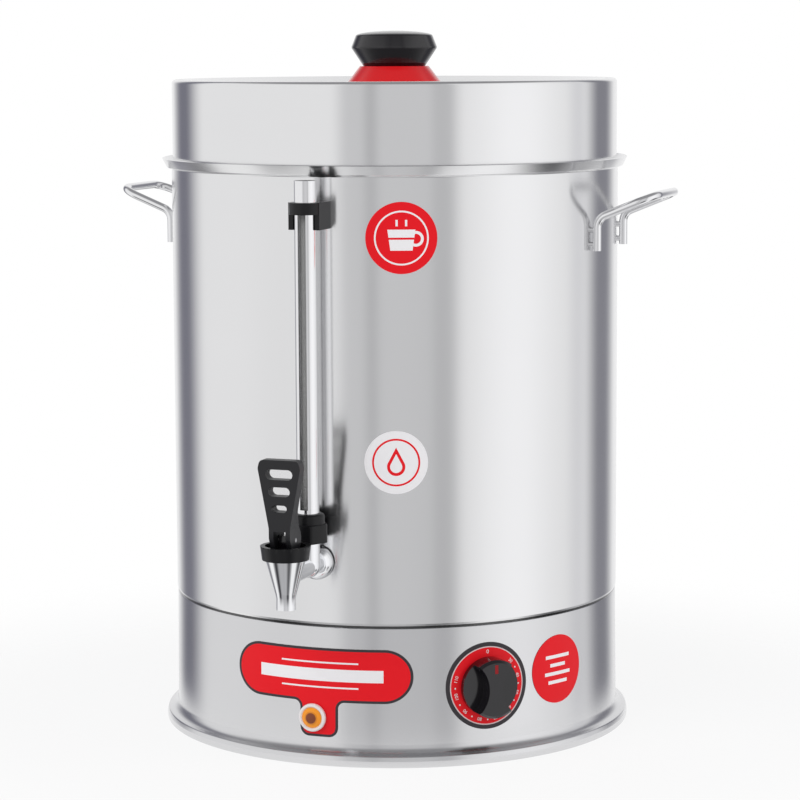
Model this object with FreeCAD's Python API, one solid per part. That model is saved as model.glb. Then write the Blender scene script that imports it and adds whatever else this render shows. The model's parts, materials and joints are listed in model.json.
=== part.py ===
import FreeCAD, Part
import math
import os

# Hot water urn: steel tank with a lift-off lid on a separate base, in millimetres.
# The origin is the centre of the foot on the table, +Z is up and the tap points along -Y.
# Azimuth is measured from the tap, anticlockwise seen from above, so 90 is +X.

# Steel shell
body_radius = 172.0
sheet = 0.8
sheet_bend = 1.4
seam_height = 102.0
tank_edge_turn = 0.8
tank_edge_rise = 3.0
wall_height = 328.6
rim_shelf_width = 3.6
rim_spread = 3.5
rim_band_height = 7.0

# Tank floor and what stands on it
floor_sheet = 1.0
floor_rise = 11.0
floor_skirt = 6.0
weld_gap = 0.05

# Base
base_setback = 0.5
base_draft = 1.1
neck_height = 4.5
neck_gap = 0.4
foot_spread = 8.6
foot_lip_height = 8.2
foot_lip_lean = 1.5
foot_flare_radius = 7.0
foot_flare_slope = 2.4
hem_width = 4.0
flange_height = 7.4
flange_width = 21.0
flange_gap = 0.25
cover_gap = 1.5
vent_count = 12
vent_radius = 4.0
vent_ring_radius = 85.0

# Tie rods between the tank floor and the base
rod_count = 4
rod_radius = 3.0
rod_inset = 11.0
rod_first_azimuth = 15.0
rod_tail = 5.0
nut_height = 4.0
nut_flats = 10.0
screw_play = 0.1

# Lid
lid_setback = 0.9
lid_skirt_height = 62.1
lid_edge_radius = 3.0
lid_rim_width = 8.1
lid_dish_slope = 13.0
lid_dish_depth = 3.7
lid_hem_width = 3.2
lid_hem_height = 3.5
lid_hem_turn = 0.6
lid_rest_gap = 0.3
lid_ring_height = 24.0
lid_ring_overlap = 14.0
lid_lift = 0.12

# Lid knob
knob_base_radius = 35.5
knob_base_top_radius = 26.5
knob_base_height = 13.3
knob_waist_radius = 23.8
knob_flare_radius = 33.1
knob_flare_height = 14.1
knob_shoulder_radius = 29.6
knob_shoulder_height = 8.9
knob_dome_height = 3.9
knob_screw_radius = 3.0
knob_screw_length = 30.0
knob_screw_head_radius = 6.0
knob_screw_head_height = 3.0
knob_washer_radius = 12.0
knob_washer_height = 1.2

# Side handles
handle_rod_radius = 3.1
handle_gap = 1.5
handle_half_width = 37.6
handle_corner_drop = 36.1
handle_leg_length = 24.0
handle_reach = 43.0
handle_slope = 22.0
handle_bend = 10.0
handle_corner = 15.0
weld_pad_radius = 2.0
weld_pad_heights = (4.5, 15.5)

# Tap
tap_height = 150.0
tap_reach = 63.0
arm_radius = 7.0
arm_bore = 4.5
shank_inside = 14.0
collar_radius = 12.8
collar_depth = 8.0
seal_thickness = 1.6
tap_nut_flats = 22.0
tap_nut_height = 6.0
cone_top_radius = 14.5
cone_top_rise = 13.0
cone_wall = 2.5
spout_radius = 6.9
spout_top_drop = 14.6
spout_tip_drop = 23.1
seat_drop = 7.0
outlet_bore = 4.5

# Tap bonnet and lever
bonnet_top_radius = 18.0
bonnet_bottom_radius = 16.7
bonnet_height = 10.0
bonnet_floor = 3.5
bonnet_recess_radius = 14.6
bonnet_spigot = 4.0
bonnet_ribs = 20
rib_depth = 0.7
thread_gap = 0.1
pin_rise = 27.0
pin_radius = 1.5
lever_front = 11.5
lever_thickness = 8.0
lever_height = 58.2
lever_waist_width = 16.0
lever_top_width = 32.0
lever_waist_rise = 9.5
lever_shoulder_rise = 52.0
lever_top_corner = 7.0
lever_heel_radius = 10.0
lever_fork_width = 9.2
lever_fork_rise = 7.4
lever_edge = 0.9
lever_slots = ((47.9, 20.4, 7.3), (35.7, 16.2, 6.7), (23.7, 11.5, 5.0))
stem_radius = 2.5
stem_head_width = 8.0
stem_head_depth = 5.0
stem_head_rise = 3.2
stem_head_drop = 9.0
valve_lift = 3.5
plug_radius = 6.3
plug_height = 6.5
spring_radius = 4.4
spring_wire = 0.4
spring_turns = 4
run_gap = 0.1

# Sight gauge
gauge_reach = 18.8
guard_radius = 8.25
guard_wall = 0.8
guard_top_drop = 2.6
guard_slot_width = 6.0
guard_slot_bottom = 190.0
glass_radius = 5.25
glass_wall = 1.1
glass_top_drop = 7.0
socket_radius = 8.5
socket_rise = 28.0
gauge_nut_flats = 26.0
gauge_nut_bottom_rise = 18.0
gauge_nut_hex_height = 13.5
gauge_nut_height = 21.0
gauge_nut_collar_radius = 12.0
gauge_nut_seat = 5.0
gauge_seal_height = 3.0
cap_height = 5.0
cap_vent_radius = 1.0
bracket_width = 23.5
bracket_drop = 15.5
bracket_band_height = 8.5
bracket_height = 19.5
bracket_screw_radius = 2.0
bracket_screw_depth = 6.0

# Thermostat and its dial
dial_azimuth = 42.2
dial_height = 56.4
dial_radius = 32.4
label_thickness = 0.4
label_glue = 0.15
thermostat_width = 34.0
thermostat_depth = 28.0
thermostat_height = 42.0
thermostat_front_gap = 1.9
shaft_radius = 3.0
bush_radius = 4.2
bush_length = 4.4
dial_screw_spacing = 28.0
dial_screw_radius = 1.8
dial_screw_head = 3.4
control_knob_radius = 21.8
control_knob_height = 15.0
control_knob_gap = 0.6
control_knob_skirt = 4.2
control_knob_wall = 2.4
grip_waist = 11.0
grip_flank_radius = 24.0
pointer_width = 2.6
pointer_length = 6.5
pointer_depth = 0.9

# Pilot lamp and front label
lamp_azimuth = -1.5
lamp_height = 33.9
bezel_radius = 10.5
bezel_height = 3.2
lens_radius = 7.6
lens_dome = 2.4
lamp_body_radius = 6.8
lamp_body_length = 26.0
lamp_nut_flats = 18.0
lamp_nut_height = 4.0
label_half_length = 68.6
label_bottom = 46.0
label_height = 40.0
label_tab_width = 29.4
label_tab_bottom = 19.7
label_tab_corner = 7.0

# Round stickers
red_badge_azimuth = 21.0
red_badge_height = 386.3
red_badge_radius = 25.8
white_badge_azimuth = 19.5
white_badge_height = 224.2
white_badge_radius = 23.0
setting_sticker_azimuth = 63.6
setting_sticker_height = 60.8
setting_sticker_radius = 25.7

# Cable gland, opposite the tap
gland_height = 35.0
gland_bore = 4.2
gland_thread_radius = 8.0
gland_flats = 22.0
gland_flange = 5.0
gland_dome = 12.0
gland_inside = 12.0
gland_nut_height = 5.0

# Heating element inside the tank
element_radius = 4.2
element_leg_half = 22.0
element_leg_y = 108.0
element_rise = 16.0
element_loop_radius = 92.0
element_bend = 14.0
element_corner = 34.0
element_tail = 22.0
fitting_radius = 6.5
fitting_flats = 20.0
fitting_washer = 11.0
fitting_nut_height = 6.0
terminal_radius = 1.6
terminal_length = 10.0

# Sensor, cut-out, terminal block and earth stud in the base
bulb_radius = 3.2
bulb_length = 84.0
bulb_x = 20.0
bulb_y = -40.0
capillary_radius = 0.9
clip_width = 12.0
clip_sheet = 0.8
cutout_x = -58.0
cutout_y = 20.0
cutout_radius = 8.5
cutout_height = 11.0
cutout_ear_length = 30.0
cutout_ear_width = 9.0
cutout_ear_sheet = 1.0
small_screw_radius = 1.5
small_screw_head = 2.8
small_screw_head_height = 1.8
block_length = 54.0
block_width = 20.0
block_height = 15.0
block_inset = 54.0
block_wells = 5
block_well_radius = 2.6
stud_x = 58.0
stud_y = 88.0
stud_radius = 2.5
stud_length = 16.0
stud_nut_flats = 8.0
lead_radius = 1.5

# Sizes worked out from those above
tank_inner_radius = body_radius - sheet
shelf_height = seam_height + wall_height
rim_height = shelf_height + rim_band_height
handle_corner_height = shelf_height - handle_corner_drop
handle_foot_height = handle_corner_height - handle_leg_length
block_y = body_radius - block_inset
rim_radius = body_radius + rim_shelf_width + rim_spread
floor_top = seam_height + floor_rise
floor_bottom = floor_top - floor_sheet
base_top_radius = body_radius - base_setback
base_low_radius = base_top_radius + base_draft
foot_radius = base_low_radius + foot_spread
flare_height = foot_lip_height + foot_flare_slope
hem_radius = foot_radius - foot_lip_lean - hem_width
flange_inner = hem_radius - flange_width
flange_top = flange_height + sheet
cover_bottom = flange_height - sheet
rod_circle = hem_radius - rod_inset
lid_radius = body_radius - lid_setback
lid_bottom = shelf_height + sheet + lid_rest_gap
lid_shoulder = lid_bottom + lid_hem_height
lid_top = lid_shoulder + lid_skirt_height
dish_height = lid_top - lid_dish_depth
lid_under = dish_height - sheet
knob_base_top = dish_height + knob_base_height
tap_axis = body_radius + tap_reach
gauge_axis = body_radius + gauge_reach
cone_top = tap_height + cone_top_rise
seat_height = tap_height - seat_drop
spout_top = tap_height - spout_top_drop
spout_tip = tap_height - spout_tip_drop
bonnet_bottom = cone_top
bonnet_top = bonnet_bottom + bonnet_height
pin_height = tap_height + pin_rise
spigot_bottom = cone_top - bonnet_spigot
plug_bottom = seat_height + 0.2
plug_top = plug_bottom + plug_height
lever_top = pin_height + lever_height
socket_top = tap_height + socket_rise
gauge_nut_bottom = tap_height + gauge_nut_bottom_rise
gauge_nut_top = gauge_nut_bottom + gauge_nut_height
guard_top_height = shelf_height - guard_top_drop
bracket_top_height = guard_top_height - bracket_drop
guard_bottom = gauge_nut_top - gauge_nut_seat
glass_bottom = socket_top - 16.0
bracket_bottom = bracket_top_height - bracket_height
bracket_band_bottom = bracket_top_height - bracket_band_height

UP = FreeCAD.Vector(0, 0, 1)
OUTWARD = FreeCAD.Vector(0, -1, 0)
SIDEWAYS = FreeCAD.Vector(1, 0, 0)


def point(x, y, z):
    """A point or a direction."""
    return FreeCAD.Vector(x, y, z)


def turned(shape, azimuth):
    """The shape turned about the urn's axis, from the tap's side to an azimuth."""
    return shape.rotated(point(0, 0, 0), UP, azimuth)


def around(azimuth, radius, height):
    """The point at an azimuth, a radius and a height."""
    angle = math.radians(azimuth)
    return point(radius * math.sin(angle), -radius * math.cos(angle), height)


def post(radius, low, high, x=0, y=0):
    """An upright round bar between two heights."""
    return Part.makeCylinder(radius, high - low, point(x, y, low), UP)


def spoke(radius, start, end, height, side=0):
    """A round bar that points outward on the tap's side, between two distances from the axis."""
    return Part.makeCylinder(radius, end - start, point(side, -start, height), OUTWARD)


def block(width, depth, height, centre_x, centre_y, low):
    """An upright box with its centre at x and y."""
    return Part.makeBox(width, depth, height, point(centre_x - width / 2, centre_y - depth / 2, low))


def hexagon(flats, start, direction, length):
    """A hexagonal bar from a point along a direction."""
    across = point(0, 0, 1) if abs(direction.z) < 0.5 else point(1, 0, 0)
    corner = across * (flats / math.sqrt(3))
    turn = FreeCAD.Rotation(direction, 60)
    corners = [start + corner]
    for _ in range(6):
        corner = turn.multVec(corner)
        corners.append(start + corner)
    return Part.Face(Part.makePolygon(corners)).extrude(direction * length)


def rounded_edges(corners, radii):
    """Straight runs through the corners, joined by tangent arcs of the given radii."""
    edges = []
    start = corners[0]
    for place, radius in enumerate(radii, 1):
        here = corners[place]
        back = (corners[place - 1] - here).normalize()
        ahead = (corners[place + 1] - here).normalize()
        half_turn = (math.pi - back.getAngle(ahead)) / 2
        if radius <= 0 or half_turn < 1e-6:
            edges.append(Part.LineSegment(start, here).toShape())
            start = here
            continue
        first = here + back * (radius * math.tan(half_turn))
        last = here + ahead * (radius * math.tan(half_turn))
        middle = here + (back + ahead).normalize() * (radius / math.cos(half_turn) - radius)
        if (first - start).Length > 1e-6:
            edges.append(Part.LineSegment(start, first).toShape())
        edges.append(Part.Arc(first, middle, last).toShape())
        start = last
    if (corners[-1] - start).Length > 1e-6:
        edges.append(Part.LineSegment(start, corners[-1]).toShape())
    return edges


def rod(corners, radii, radius):
    """A round rod bent along a path."""
    path = Part.Wire(rounded_edges(corners, radii))
    section = Part.Wire(Part.makeCircle(radius, corners[0], corners[1] - corners[0]))
    bent = path.makePipeShell([section], True, False)
    print("rod volume over section times length",
          round(bent.Volume / (math.pi * radius ** 2 * path.Length), 4))
    return bent


def spun(outline, radii=None):
    """A solid spun about the urn's axis from a closed outline of radius and height pairs."""
    corners = [point(radius, 0, height) for radius, height in outline]
    if radii is None:
        edges = Part.makePolygon(corners + corners[:1]).Edges
    else:
        edges = rounded_edges(corners, radii)
        edges.append(Part.LineSegment(corners[-1], corners[0]).toShape())
    return Part.Face(Part.Wire(edges)).revolve(point(0, 0, 0), UP, 360)


def spun_sheet(skin, radii, thickness):
    """Sheet spun about the axis: the skin is its outside, and the metal lies to the path's left."""
    count = len(skin)
    runs = []
    for place in range(count - 1):
        across = skin[place + 1][0] - skin[place][0]
        rise = skin[place + 1][1] - skin[place][1]
        length = math.hypot(across, rise)
        runs.append((across / length, rise / length))
    inside = []
    inside_radii = []
    for place in range(count):
        before = runs[max(place - 1, 0)]
        after = runs[min(place, count - 2)]
        share = thickness / (1 + before[0] * after[0] + before[1] * after[1])
        inside.append((skin[place][0] - (before[1] + after[1]) * share,
                       skin[place][1] + (before[0] + after[0]) * share))
        if 0 < place < count - 1:
            left_turn = before[0] * after[1] - before[1] * after[0] > 0
            radius = radii[place - 1]
            inside_radii.append(max(radius - thickness, 0) if left_turn else radius + thickness)
    outer = [point(radius, 0, height) for radius, height in skin]
    inner = [point(radius, 0, height) for radius, height in reversed(inside)]
    edges = rounded_edges(outer, radii)
    edges.append(Part.LineSegment(outer[-1], inner[0]).toShape())
    edges += rounded_edges(inner, list(reversed(inside_radii)))
    edges.append(Part.LineSegment(inner[-1], outer[0]).toShape())
    return Part.Face(Part.Wire(edges)).revolve(point(0, 0, 0), UP, 360)


def base_radius(height):
    """The outer radius of the base's wall, which widens a little towards the foot."""
    share = (seam_height - height) / (seam_height - flare_height)
    return base_top_radius + base_draft * share


def base_skin(inside, outside):
    """A layer that follows the base's wall, between two distances out from it."""
    low = flare_height
    high = seam_height - sheet_bend
    outer = Part.makeCone(base_radius(low) + outside, base_radius(high) + outside, high - low,
                          point(0, 0, low), UP)
    inner = Part.makeCone(base_radius(low) + inside, base_radius(high) + inside, high - low,
                          point(0, 0, low), UP)
    return outer.cut(inner)


def outward_prism(face):
    """A flat face at the axis drawn out past the wall on the tap's side."""
    return face.extrude(OUTWARD * (foot_radius * 2))


def disc_face(radius, height):
    """A round face in the plane through the axis, across the tap's side."""
    return Part.Face(Part.Wire(Part.makeCircle(radius, point(0, 0, height), OUTWARD)))


# Tank

def make_tank_wall():
    """The tank's side: a rolled wall with a shelf and a flared lip for the lid."""
    skin = [(body_radius - tank_edge_turn, seam_height),
            (body_radius, seam_height + tank_edge_rise),
            (body_radius, shelf_height),
            (body_radius + rim_shelf_width, shelf_height),
            (rim_radius, rim_height)]
    wall = spun_sheet(skin, [sheet_bend, sheet_bend, sheet_bend], sheet)
    wall = wall.cut(spoke(arm_radius + screw_play, body_radius / 2, body_radius * 1.2, tap_height))
    bracket_screw_height = bracket_bottom + bracket_height / 2
    return wall.cut(spoke(bracket_screw_radius + screw_play, body_radius / 2, body_radius * 1.2,
                          bracket_screw_height))


def element_fittings():
    """Where the element's two legs pass the tank floor."""
    return [(-element_leg_half, element_leg_y), (element_leg_half, element_leg_y)]


def make_tank_floor():
    """The tank's floor, a dish welded inside the wall."""
    radius = tank_inner_radius - weld_gap
    skin = [(radius, floor_top - floor_skirt), (radius, floor_top), (0, floor_top)]
    floor = spun_sheet(skin, [sheet_bend], floor_sheet)
    for x, y in element_fittings():
        floor = floor.cut(post(fitting_radius + screw_play, floor_bottom - 5, floor_top + 5, x, y))
    return floor


def make_heating_element():
    """A tubular heater: two legs up through the floor and one open loop above it."""
    level = floor_top + element_rise
    loop = element_loop_radius
    leg = element_leg_half
    foot = floor_bottom - element_tail
    inner_y = element_leg_y - element_corner * 1.3
    right = [point(leg, element_leg_y, foot), point(leg, element_leg_y, level),
             point(leg, inner_y, level), point(loop, loop * 0.42, level),
             point(loop, -loop * 0.42, level), point(loop * 0.42, -loop, level)]
    left = [point(-corner.x, corner.y, corner.z) for corner in reversed(right)]
    radii = [element_bend, element_corner * 0.6, element_corner, element_corner, element_corner]
    heater = rod(right + left, radii + list(reversed(radii)), element_radius)
    for x, y in element_fittings():
        sleeve = post(fitting_radius, floor_bottom - 10, floor_top + 4, x, y)
        flange = post(fitting_washer - 1, floor_top + seal_thickness, floor_top + 4, x, y)
        heater = heater.fuse(sleeve).fuse(flange)
        heater = heater.fuse(post(terminal_radius, foot - terminal_length, foot + 1, x, y))
    return heater.removeSplitter()


def make_element_seals():
    """A flat ring under each flange of the element, on the tank floor."""
    rings = []
    for x, y in element_fittings():
        ring = post(fitting_washer, floor_top, floor_top + seal_thickness, x, y)
        rings.append(ring.cut(post(fitting_radius + screw_play, floor_top - 1, floor_top + 5, x, y)))
    return Part.makeCompound(rings)


def make_element_nuts():
    """The nuts that pull the element down, under the tank floor."""
    nuts = []
    for x, y in element_fittings():
        nut = hexagon(fitting_flats, point(x, y, floor_bottom - fitting_nut_height), UP, fitting_nut_height)
        nuts.append(nut.cut(post(fitting_radius + screw_play, floor_bottom - 20, floor_top, x, y)))
    return Part.makeCompound(nuts)


def make_handle(side):
    """A bent rod handle with its weld pads: side is 1 for +X and -1 for -X."""
    leg_x = math.sqrt((body_radius + handle_gap + handle_rod_radius) ** 2 - handle_half_width ** 2)
    rise = handle_reach * math.tan(math.radians(handle_slope))
    half = handle_half_width
    front = [point(leg_x, -half, handle_foot_height), point(leg_x, -half, handle_corner_height),
             point(leg_x + handle_reach, -half, handle_corner_height + rise)]
    back = [point(corner.x, half, corner.z) for corner in reversed(front)]
    radii = [handle_bend, handle_corner, handle_corner, handle_bend]
    handle = rod(front + back, radii, handle_rod_radius)
    outside = post(body_radius, handle_foot_height - 20, handle_corner_height)
    for y in (-half, half):
        inward = point(-leg_x, -y, 0).normalize()
        for pad in weld_pad_heights:
            start = point(leg_x, y, handle_foot_height + pad)
            length = handle_rod_radius + handle_gap + 1
            handle = handle.fuse(Part.makeCylinder(weld_pad_radius, length, start, inward))
    handle = handle.cut(outside)
    if side > 0:
        return handle
    return handle.rotated(point(0, 0, 0), UP, 180)


# Base

def rod_places():
    """The azimuths of the tie rods."""
    return [rod_first_azimuth + 360 / rod_count * step for step in range(rod_count)]


def make_base_shell():
    """The base's shell: neck, shoulder, wall, flared foot and hem."""
    lip_top = foot_radius - foot_lip_lean * 0.6
    skin = [(hem_radius, flange_top),
            (hem_radius, 0),
            (foot_radius, 0),
            (foot_radius - 0.1, foot_lip_height * 0.6),
            (lip_top, foot_lip_height),
            (base_low_radius, flare_height),
            (base_top_radius, seam_height),
            (body_radius - sheet - tank_edge_turn - neck_gap, seam_height),
            (body_radius - sheet - tank_edge_turn - neck_gap, seam_height + neck_height)]
    bend = sheet_bend
    radii = [bend, bend, bend, bend, foot_flare_radius, bend, sheet * 0.5]
    shell = spun_sheet(skin, radii, sheet)
    holes = [(dial_azimuth, spoke(bush_radius + screw_play, body_radius / 2, body_radius * 1.2, dial_height)),
             (lamp_azimuth, spoke(lamp_body_radius + screw_play, body_radius / 2, body_radius * 1.2, lamp_height)),
             (180, spoke(gland_thread_radius + screw_play, body_radius / 2, body_radius * 1.2, gland_height))]
    for side in (-dial_screw_spacing / 2, dial_screw_spacing / 2):
        hole = spoke(dial_screw_radius + screw_play, body_radius / 2, body_radius * 1.2, dial_height, side)
        holes.append((dial_azimuth, hole))
    for azimuth, hole in holes:
        shell = shell.cut(turned(hole, azimuth))
    return shell


def make_base_flange():
    """The flat ring welded inside the hem, which the tie rods pass."""
    outer = hem_radius - flange_gap
    flange = spun([(flange_inner, flange_height), (outer, flange_height), (outer, flange_top),
                   (flange_inner, flange_top)])
    for azimuth in rod_places():
        place = around(azimuth, rod_circle, 0)
        flange = flange.cut(post(rod_radius + screw_play, 1, flange_top + 5, place.x, place.y))
    return flange


def make_bottom_cover():
    """The plate that closes the base from below, with cooling holes."""
    radius = hem_radius - cover_gap
    cover = post(radius, cover_bottom, flange_height)
    for azimuth in rod_places():
        place = around(azimuth, rod_circle, 0)
        cover = cover.cut(post(rod_radius + screw_play, 0, flange_top, place.x, place.y))
    for step in range(vent_count):
        place = around(360 / vent_count * step, vent_ring_radius, 0)
        cover = cover.cut(post(vent_radius, 0, flange_top, place.x, place.y))
    for x in block_screw_places():
        cover = cover.cut(post(small_screw_radius + screw_play, 0, flange_top, x, block_y))
    return cover


def make_tie_rods():
    """Studs welded under the tank floor, which hold the base to it."""
    rods = []
    for azimuth in rod_places():
        place = around(azimuth, rod_circle, 0)
        rods.append(post(rod_radius, cover_bottom - rod_tail, floor_bottom, place.x, place.y))
    return Part.makeCompound(rods)


def make_tie_rod_nuts():
    """The nuts under the bottom cover."""
    nuts = []
    for azimuth in rod_places():
        place = around(azimuth, rod_circle, cover_bottom - nut_height)
        nut = hexagon(nut_flats, place, UP, nut_height)
        nuts.append(nut.cut(post(rod_radius + screw_play, 0, floor_bottom, place.x, place.y)))
    return Part.makeCompound(nuts)


# Lid

def make_lid_shell():
    """The lid: dished top, round edge, tall skirt and a small flared hem."""
    skin = [(lid_radius + lid_hem_width, lid_bottom + lid_hem_turn),
            (lid_radius, lid_shoulder),
            (lid_radius, lid_top),
            (lid_radius - lid_rim_width, lid_top),
            (lid_radius - lid_rim_width - lid_dish_slope, dish_height),
            (knob_screw_radius + screw_play, dish_height)]
    return spun_sheet(skin, [sheet_bend, lid_edge_radius, sheet_bend, sheet_bend], sheet)


def make_lid_inner_ring():
    """The band inside the skirt that keeps the lid centred in the tank."""
    outer = lid_radius - sheet - weld_gap
    low = lid_bottom - lid_ring_overlap + 1
    high = low + lid_ring_height
    return spun([(outer, low), (outer, high), (outer - sheet, high), (outer - sheet, low)])


def make_lid_knob_base():
    """The red foot of the knob, a cone on the lid."""
    bore = knob_screw_radius + screw_play
    return spun([(bore, dish_height), (knob_base_radius, dish_height), (knob_base_radius, dish_height + 1.6),
                 (knob_base_top_radius, knob_base_top), (bore, knob_base_top)])


def make_lid_knob():
    """The black knob: waist, flare, chamfer and a low dome."""
    flare = knob_base_top + knob_flare_height
    shoulder = flare + knob_shoulder_height
    dome_top = shoulder + knob_dome_height
    knob = spun([(0, knob_base_top), (knob_waist_radius, knob_base_top), (knob_flare_radius, flare),
                 (knob_shoulder_radius, shoulder), (0, shoulder)])
    ball_radius = (knob_shoulder_radius ** 2 + knob_dome_height ** 2) / (2 * knob_dome_height)
    ball = Part.makeSphere(ball_radius, point(0, 0, dome_top - ball_radius))
    knob = knob.fuse(ball.common(post(knob_shoulder_radius, shoulder, dome_top + 1))).removeSplitter()
    hole_top = lid_under - knob_washer_height + knob_screw_length + 1
    return knob.cut(post(knob_screw_radius + screw_play, knob_base_top - 1, hole_top))


def make_lid_knob_screw():
    """The screw that holds the knob from inside the lid."""
    seat = lid_under - knob_washer_height
    shank = post(knob_screw_radius, seat, seat + knob_screw_length)
    return shank.fuse(post(knob_screw_head_radius, seat - knob_screw_head_height, seat)).removeSplitter()


def make_lid_knob_washer():
    """The wide washer between the screw and the lid."""
    washer = post(knob_washer_radius, lid_under - knob_washer_height, lid_under)
    return washer.cut(post(knob_screw_radius + screw_play, lid_under - 10, lid_under + 1))


# Tap

def cone_radius(height):
    """The tap cone's outer radius at a height."""
    share = (height - spout_top) / (cone_top - spout_top)
    return spout_radius + (cone_top_radius - spout_radius) * share


def make_tap_body():
    """The tap's casting: shank, arm, gauge socket and the valve cone with its spout."""
    centre = -tap_axis
    cone = spun([(0, spout_tip), (spout_radius, spout_tip), (spout_radius, spout_top),
                 (cone_top_radius, cone_top), (0, cone_top)]).translated(point(0, centre, 0))
    arm = spoke(arm_radius, tank_inner_radius - shank_inside, tap_axis, tap_height)
    socket = post(socket_radius, tap_height, socket_top, 0, -gauge_axis)
    swell = Part.makeSphere(socket_radius, point(0, -gauge_axis, tap_height))
    body = cone.fuse(arm).fuse(socket).fuse(swell)
    chamber = spun([(0, seat_height), (cone_radius(seat_height) - cone_wall, seat_height),
                    (cone_radius(spigot_bottom) - cone_wall, spigot_bottom),
                    (cone_top_radius - cone_wall, spigot_bottom), (cone_top_radius - cone_wall, cone_top),
                    (0, cone_top)])
    body = body.cut(chamber.translated(point(0, centre, 0)))
    body = body.cut(post(outlet_bore, spout_tip - 1, seat_height + 1, 0, centre))
    body = body.cut(spoke(arm_bore, body_radius / 2, tap_axis, tap_height))
    body = body.cut(post(glass_radius + run_gap, glass_bottom, socket_top + 1, 0, -gauge_axis))
    return body.cut(post(glass_radius - glass_wall, tap_height, socket_top, 0, -gauge_axis))


def make_tap_collar():
    """The round collar between the tap's arm and the tank wall."""
    start = body_radius - 1
    end = body_radius + seal_thickness + collar_depth
    dome = Part.makeSphere(collar_radius, point(0, -(body_radius + seal_thickness), tap_height))
    keep = spoke(collar_radius + 1, body_radius + seal_thickness, end, tap_height)
    collar = dome.common(keep)
    return collar.cut(spoke(arm_radius + weld_gap, start, end + 5, tap_height))


def make_tap_outer_seal():
    """The rubber ring between the collar and the tank's outside."""
    seal = spoke(collar_radius - 0.6, body_radius - 2, body_radius + seal_thickness, tap_height)
    seal = seal.cut(spoke(arm_radius + weld_gap, body_radius / 2, tap_axis, tap_height))
    return seal.cut(post(body_radius + weld_gap, 0, rim_height))


def make_tap_inner_seal():
    """The rubber ring between the tank's inside and the lock nut."""
    seal = spoke(collar_radius - 0.6, tank_inner_radius - seal_thickness, tank_inner_radius + 1, tap_height)
    seal = seal.cut(spoke(arm_radius + weld_gap, body_radius / 2, tap_axis, tap_height))
    return seal.common(post(tank_inner_radius - weld_gap, 0, rim_height))


def make_tap_seals():
    """The two rubber rings, one on each side of the tank wall."""
    return Part.makeCompound([make_tap_outer_seal(), make_tap_inner_seal()])


def make_tap_lock_nut():
    """The nut on the tap's shank inside the tank."""
    start = tank_inner_radius - seal_thickness - tap_nut_height
    nut = hexagon(tap_nut_flats, point(0, -start, tap_height), OUTWARD, tap_nut_height)
    return nut.cut(spoke(arm_radius + weld_gap, body_radius / 2, tap_axis, tap_height))


def make_tap_bonnet():
    """The ribbed black collar on the cone, with a dished top and a spigot below."""
    bonnet = spun([(0, bonnet_bottom), (bonnet_bottom_radius, bonnet_bottom), (bonnet_top_radius, bonnet_top),
                   (bonnet_recess_radius, bonnet_top), (bonnet_recess_radius, bonnet_bottom + bonnet_floor),
                   (0, bonnet_bottom + bonnet_floor)])
    spigot = post(cone_top_radius - cone_wall - thread_gap, spigot_bottom, bonnet_bottom + 1)
    bonnet = bonnet.fuse(spigot)
    bonnet = bonnet.cut(post(stem_radius + run_gap, spigot_bottom - 1, bonnet_top))
    for step in range(bonnet_ribs):
        angle = math.radians(360 / bonnet_ribs * step)
        reach = bonnet_top_radius + 1.4 - rib_depth * 0.4
        groove = post(1.4, bonnet_bottom - 1, bonnet_top + 1, reach * math.cos(angle), reach * math.sin(angle))
        bonnet = bonnet.cut(groove)
    return bonnet.removeSplitter().translated(point(0, -tap_axis, 0))


def slot_face(width, height, middle):
    """A lying slot with round ends, in the plane through the axis."""
    half = width / 2 - height / 2
    top = middle + height / 2
    low = middle - height / 2
    edges = [Part.LineSegment(point(-half, 0, low), point(half, 0, low)),
             Part.Arc(point(half, 0, low), point(width / 2, 0, middle), point(half, 0, top)),
             Part.LineSegment(point(half, 0, top), point(-half, 0, top)),
             Part.Arc(point(-half, 0, top), point(-width / 2, 0, middle), point(-half, 0, low))]
    return Part.Face(Part.Wire([edge.toShape() for edge in edges]))


def lever_front_outline():
    """The lever seen from the front: a waist that widens to a rounded top."""
    waist = lever_waist_width / 2
    top = lever_top_width / 2
    heel = pin_height - lever_heel_radius
    shoulder = pin_height + lever_shoulder_rise
    corners = [point(-waist, 0, heel), point(waist, 0, heel), point(waist, 0, pin_height + lever_waist_rise),
               point(top, 0, shoulder), point(top - 1.5, 0, lever_top), point(-top + 1.5, 0, lever_top),
               point(-top, 0, shoulder), point(-waist, 0, pin_height + lever_waist_rise), point(-waist, 0, heel)]
    corner = lever_top_corner
    edges = rounded_edges(corners, [0, 20, corner * 0.7, corner * 0.55, corner * 0.55, corner * 0.7, 20])
    return Part.Face(Part.Wire(edges))


def lever_side_outline():
    """The lever seen from the side: a flat paddle that deepens to a round heel at the pin."""
    front = -lever_front
    back = front + lever_thickness
    heel = lever_heel_radius
    low = 0.6 * heel
    reach = 0.8 * heel
    corners = [(front, lever_height + 1), (front, 0.25 * heel), (front + 0.15 * heel, -low)]
    edges = [Part.LineSegment(point(0, corners[0][0], corners[0][1]), point(0, corners[1][0], corners[1][1])),
             Part.LineSegment(point(0, corners[1][0], corners[1][1]), point(0, -reach, -low)),
             Part.Arc(point(0, -reach, -low), point(0, 0, -heel), point(0, reach, -low)),
             Part.Arc(point(0, reach, -low), point(0, heel, 0), point(0, reach, low)),
             Part.LineSegment(point(0, reach, low), point(0, back + 2, lever_waist_rise * 2.2)),
             Part.LineSegment(point(0, back + 2, lever_waist_rise * 2.2), point(0, back, lever_height + 1)),
             Part.LineSegment(point(0, back, lever_height + 1), point(0, front, lever_height + 1))]
    face = Part.Face(Part.Wire([edge.toShape() for edge in edges]))
    return face.translated(point(0, -tap_axis, pin_height))


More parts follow.
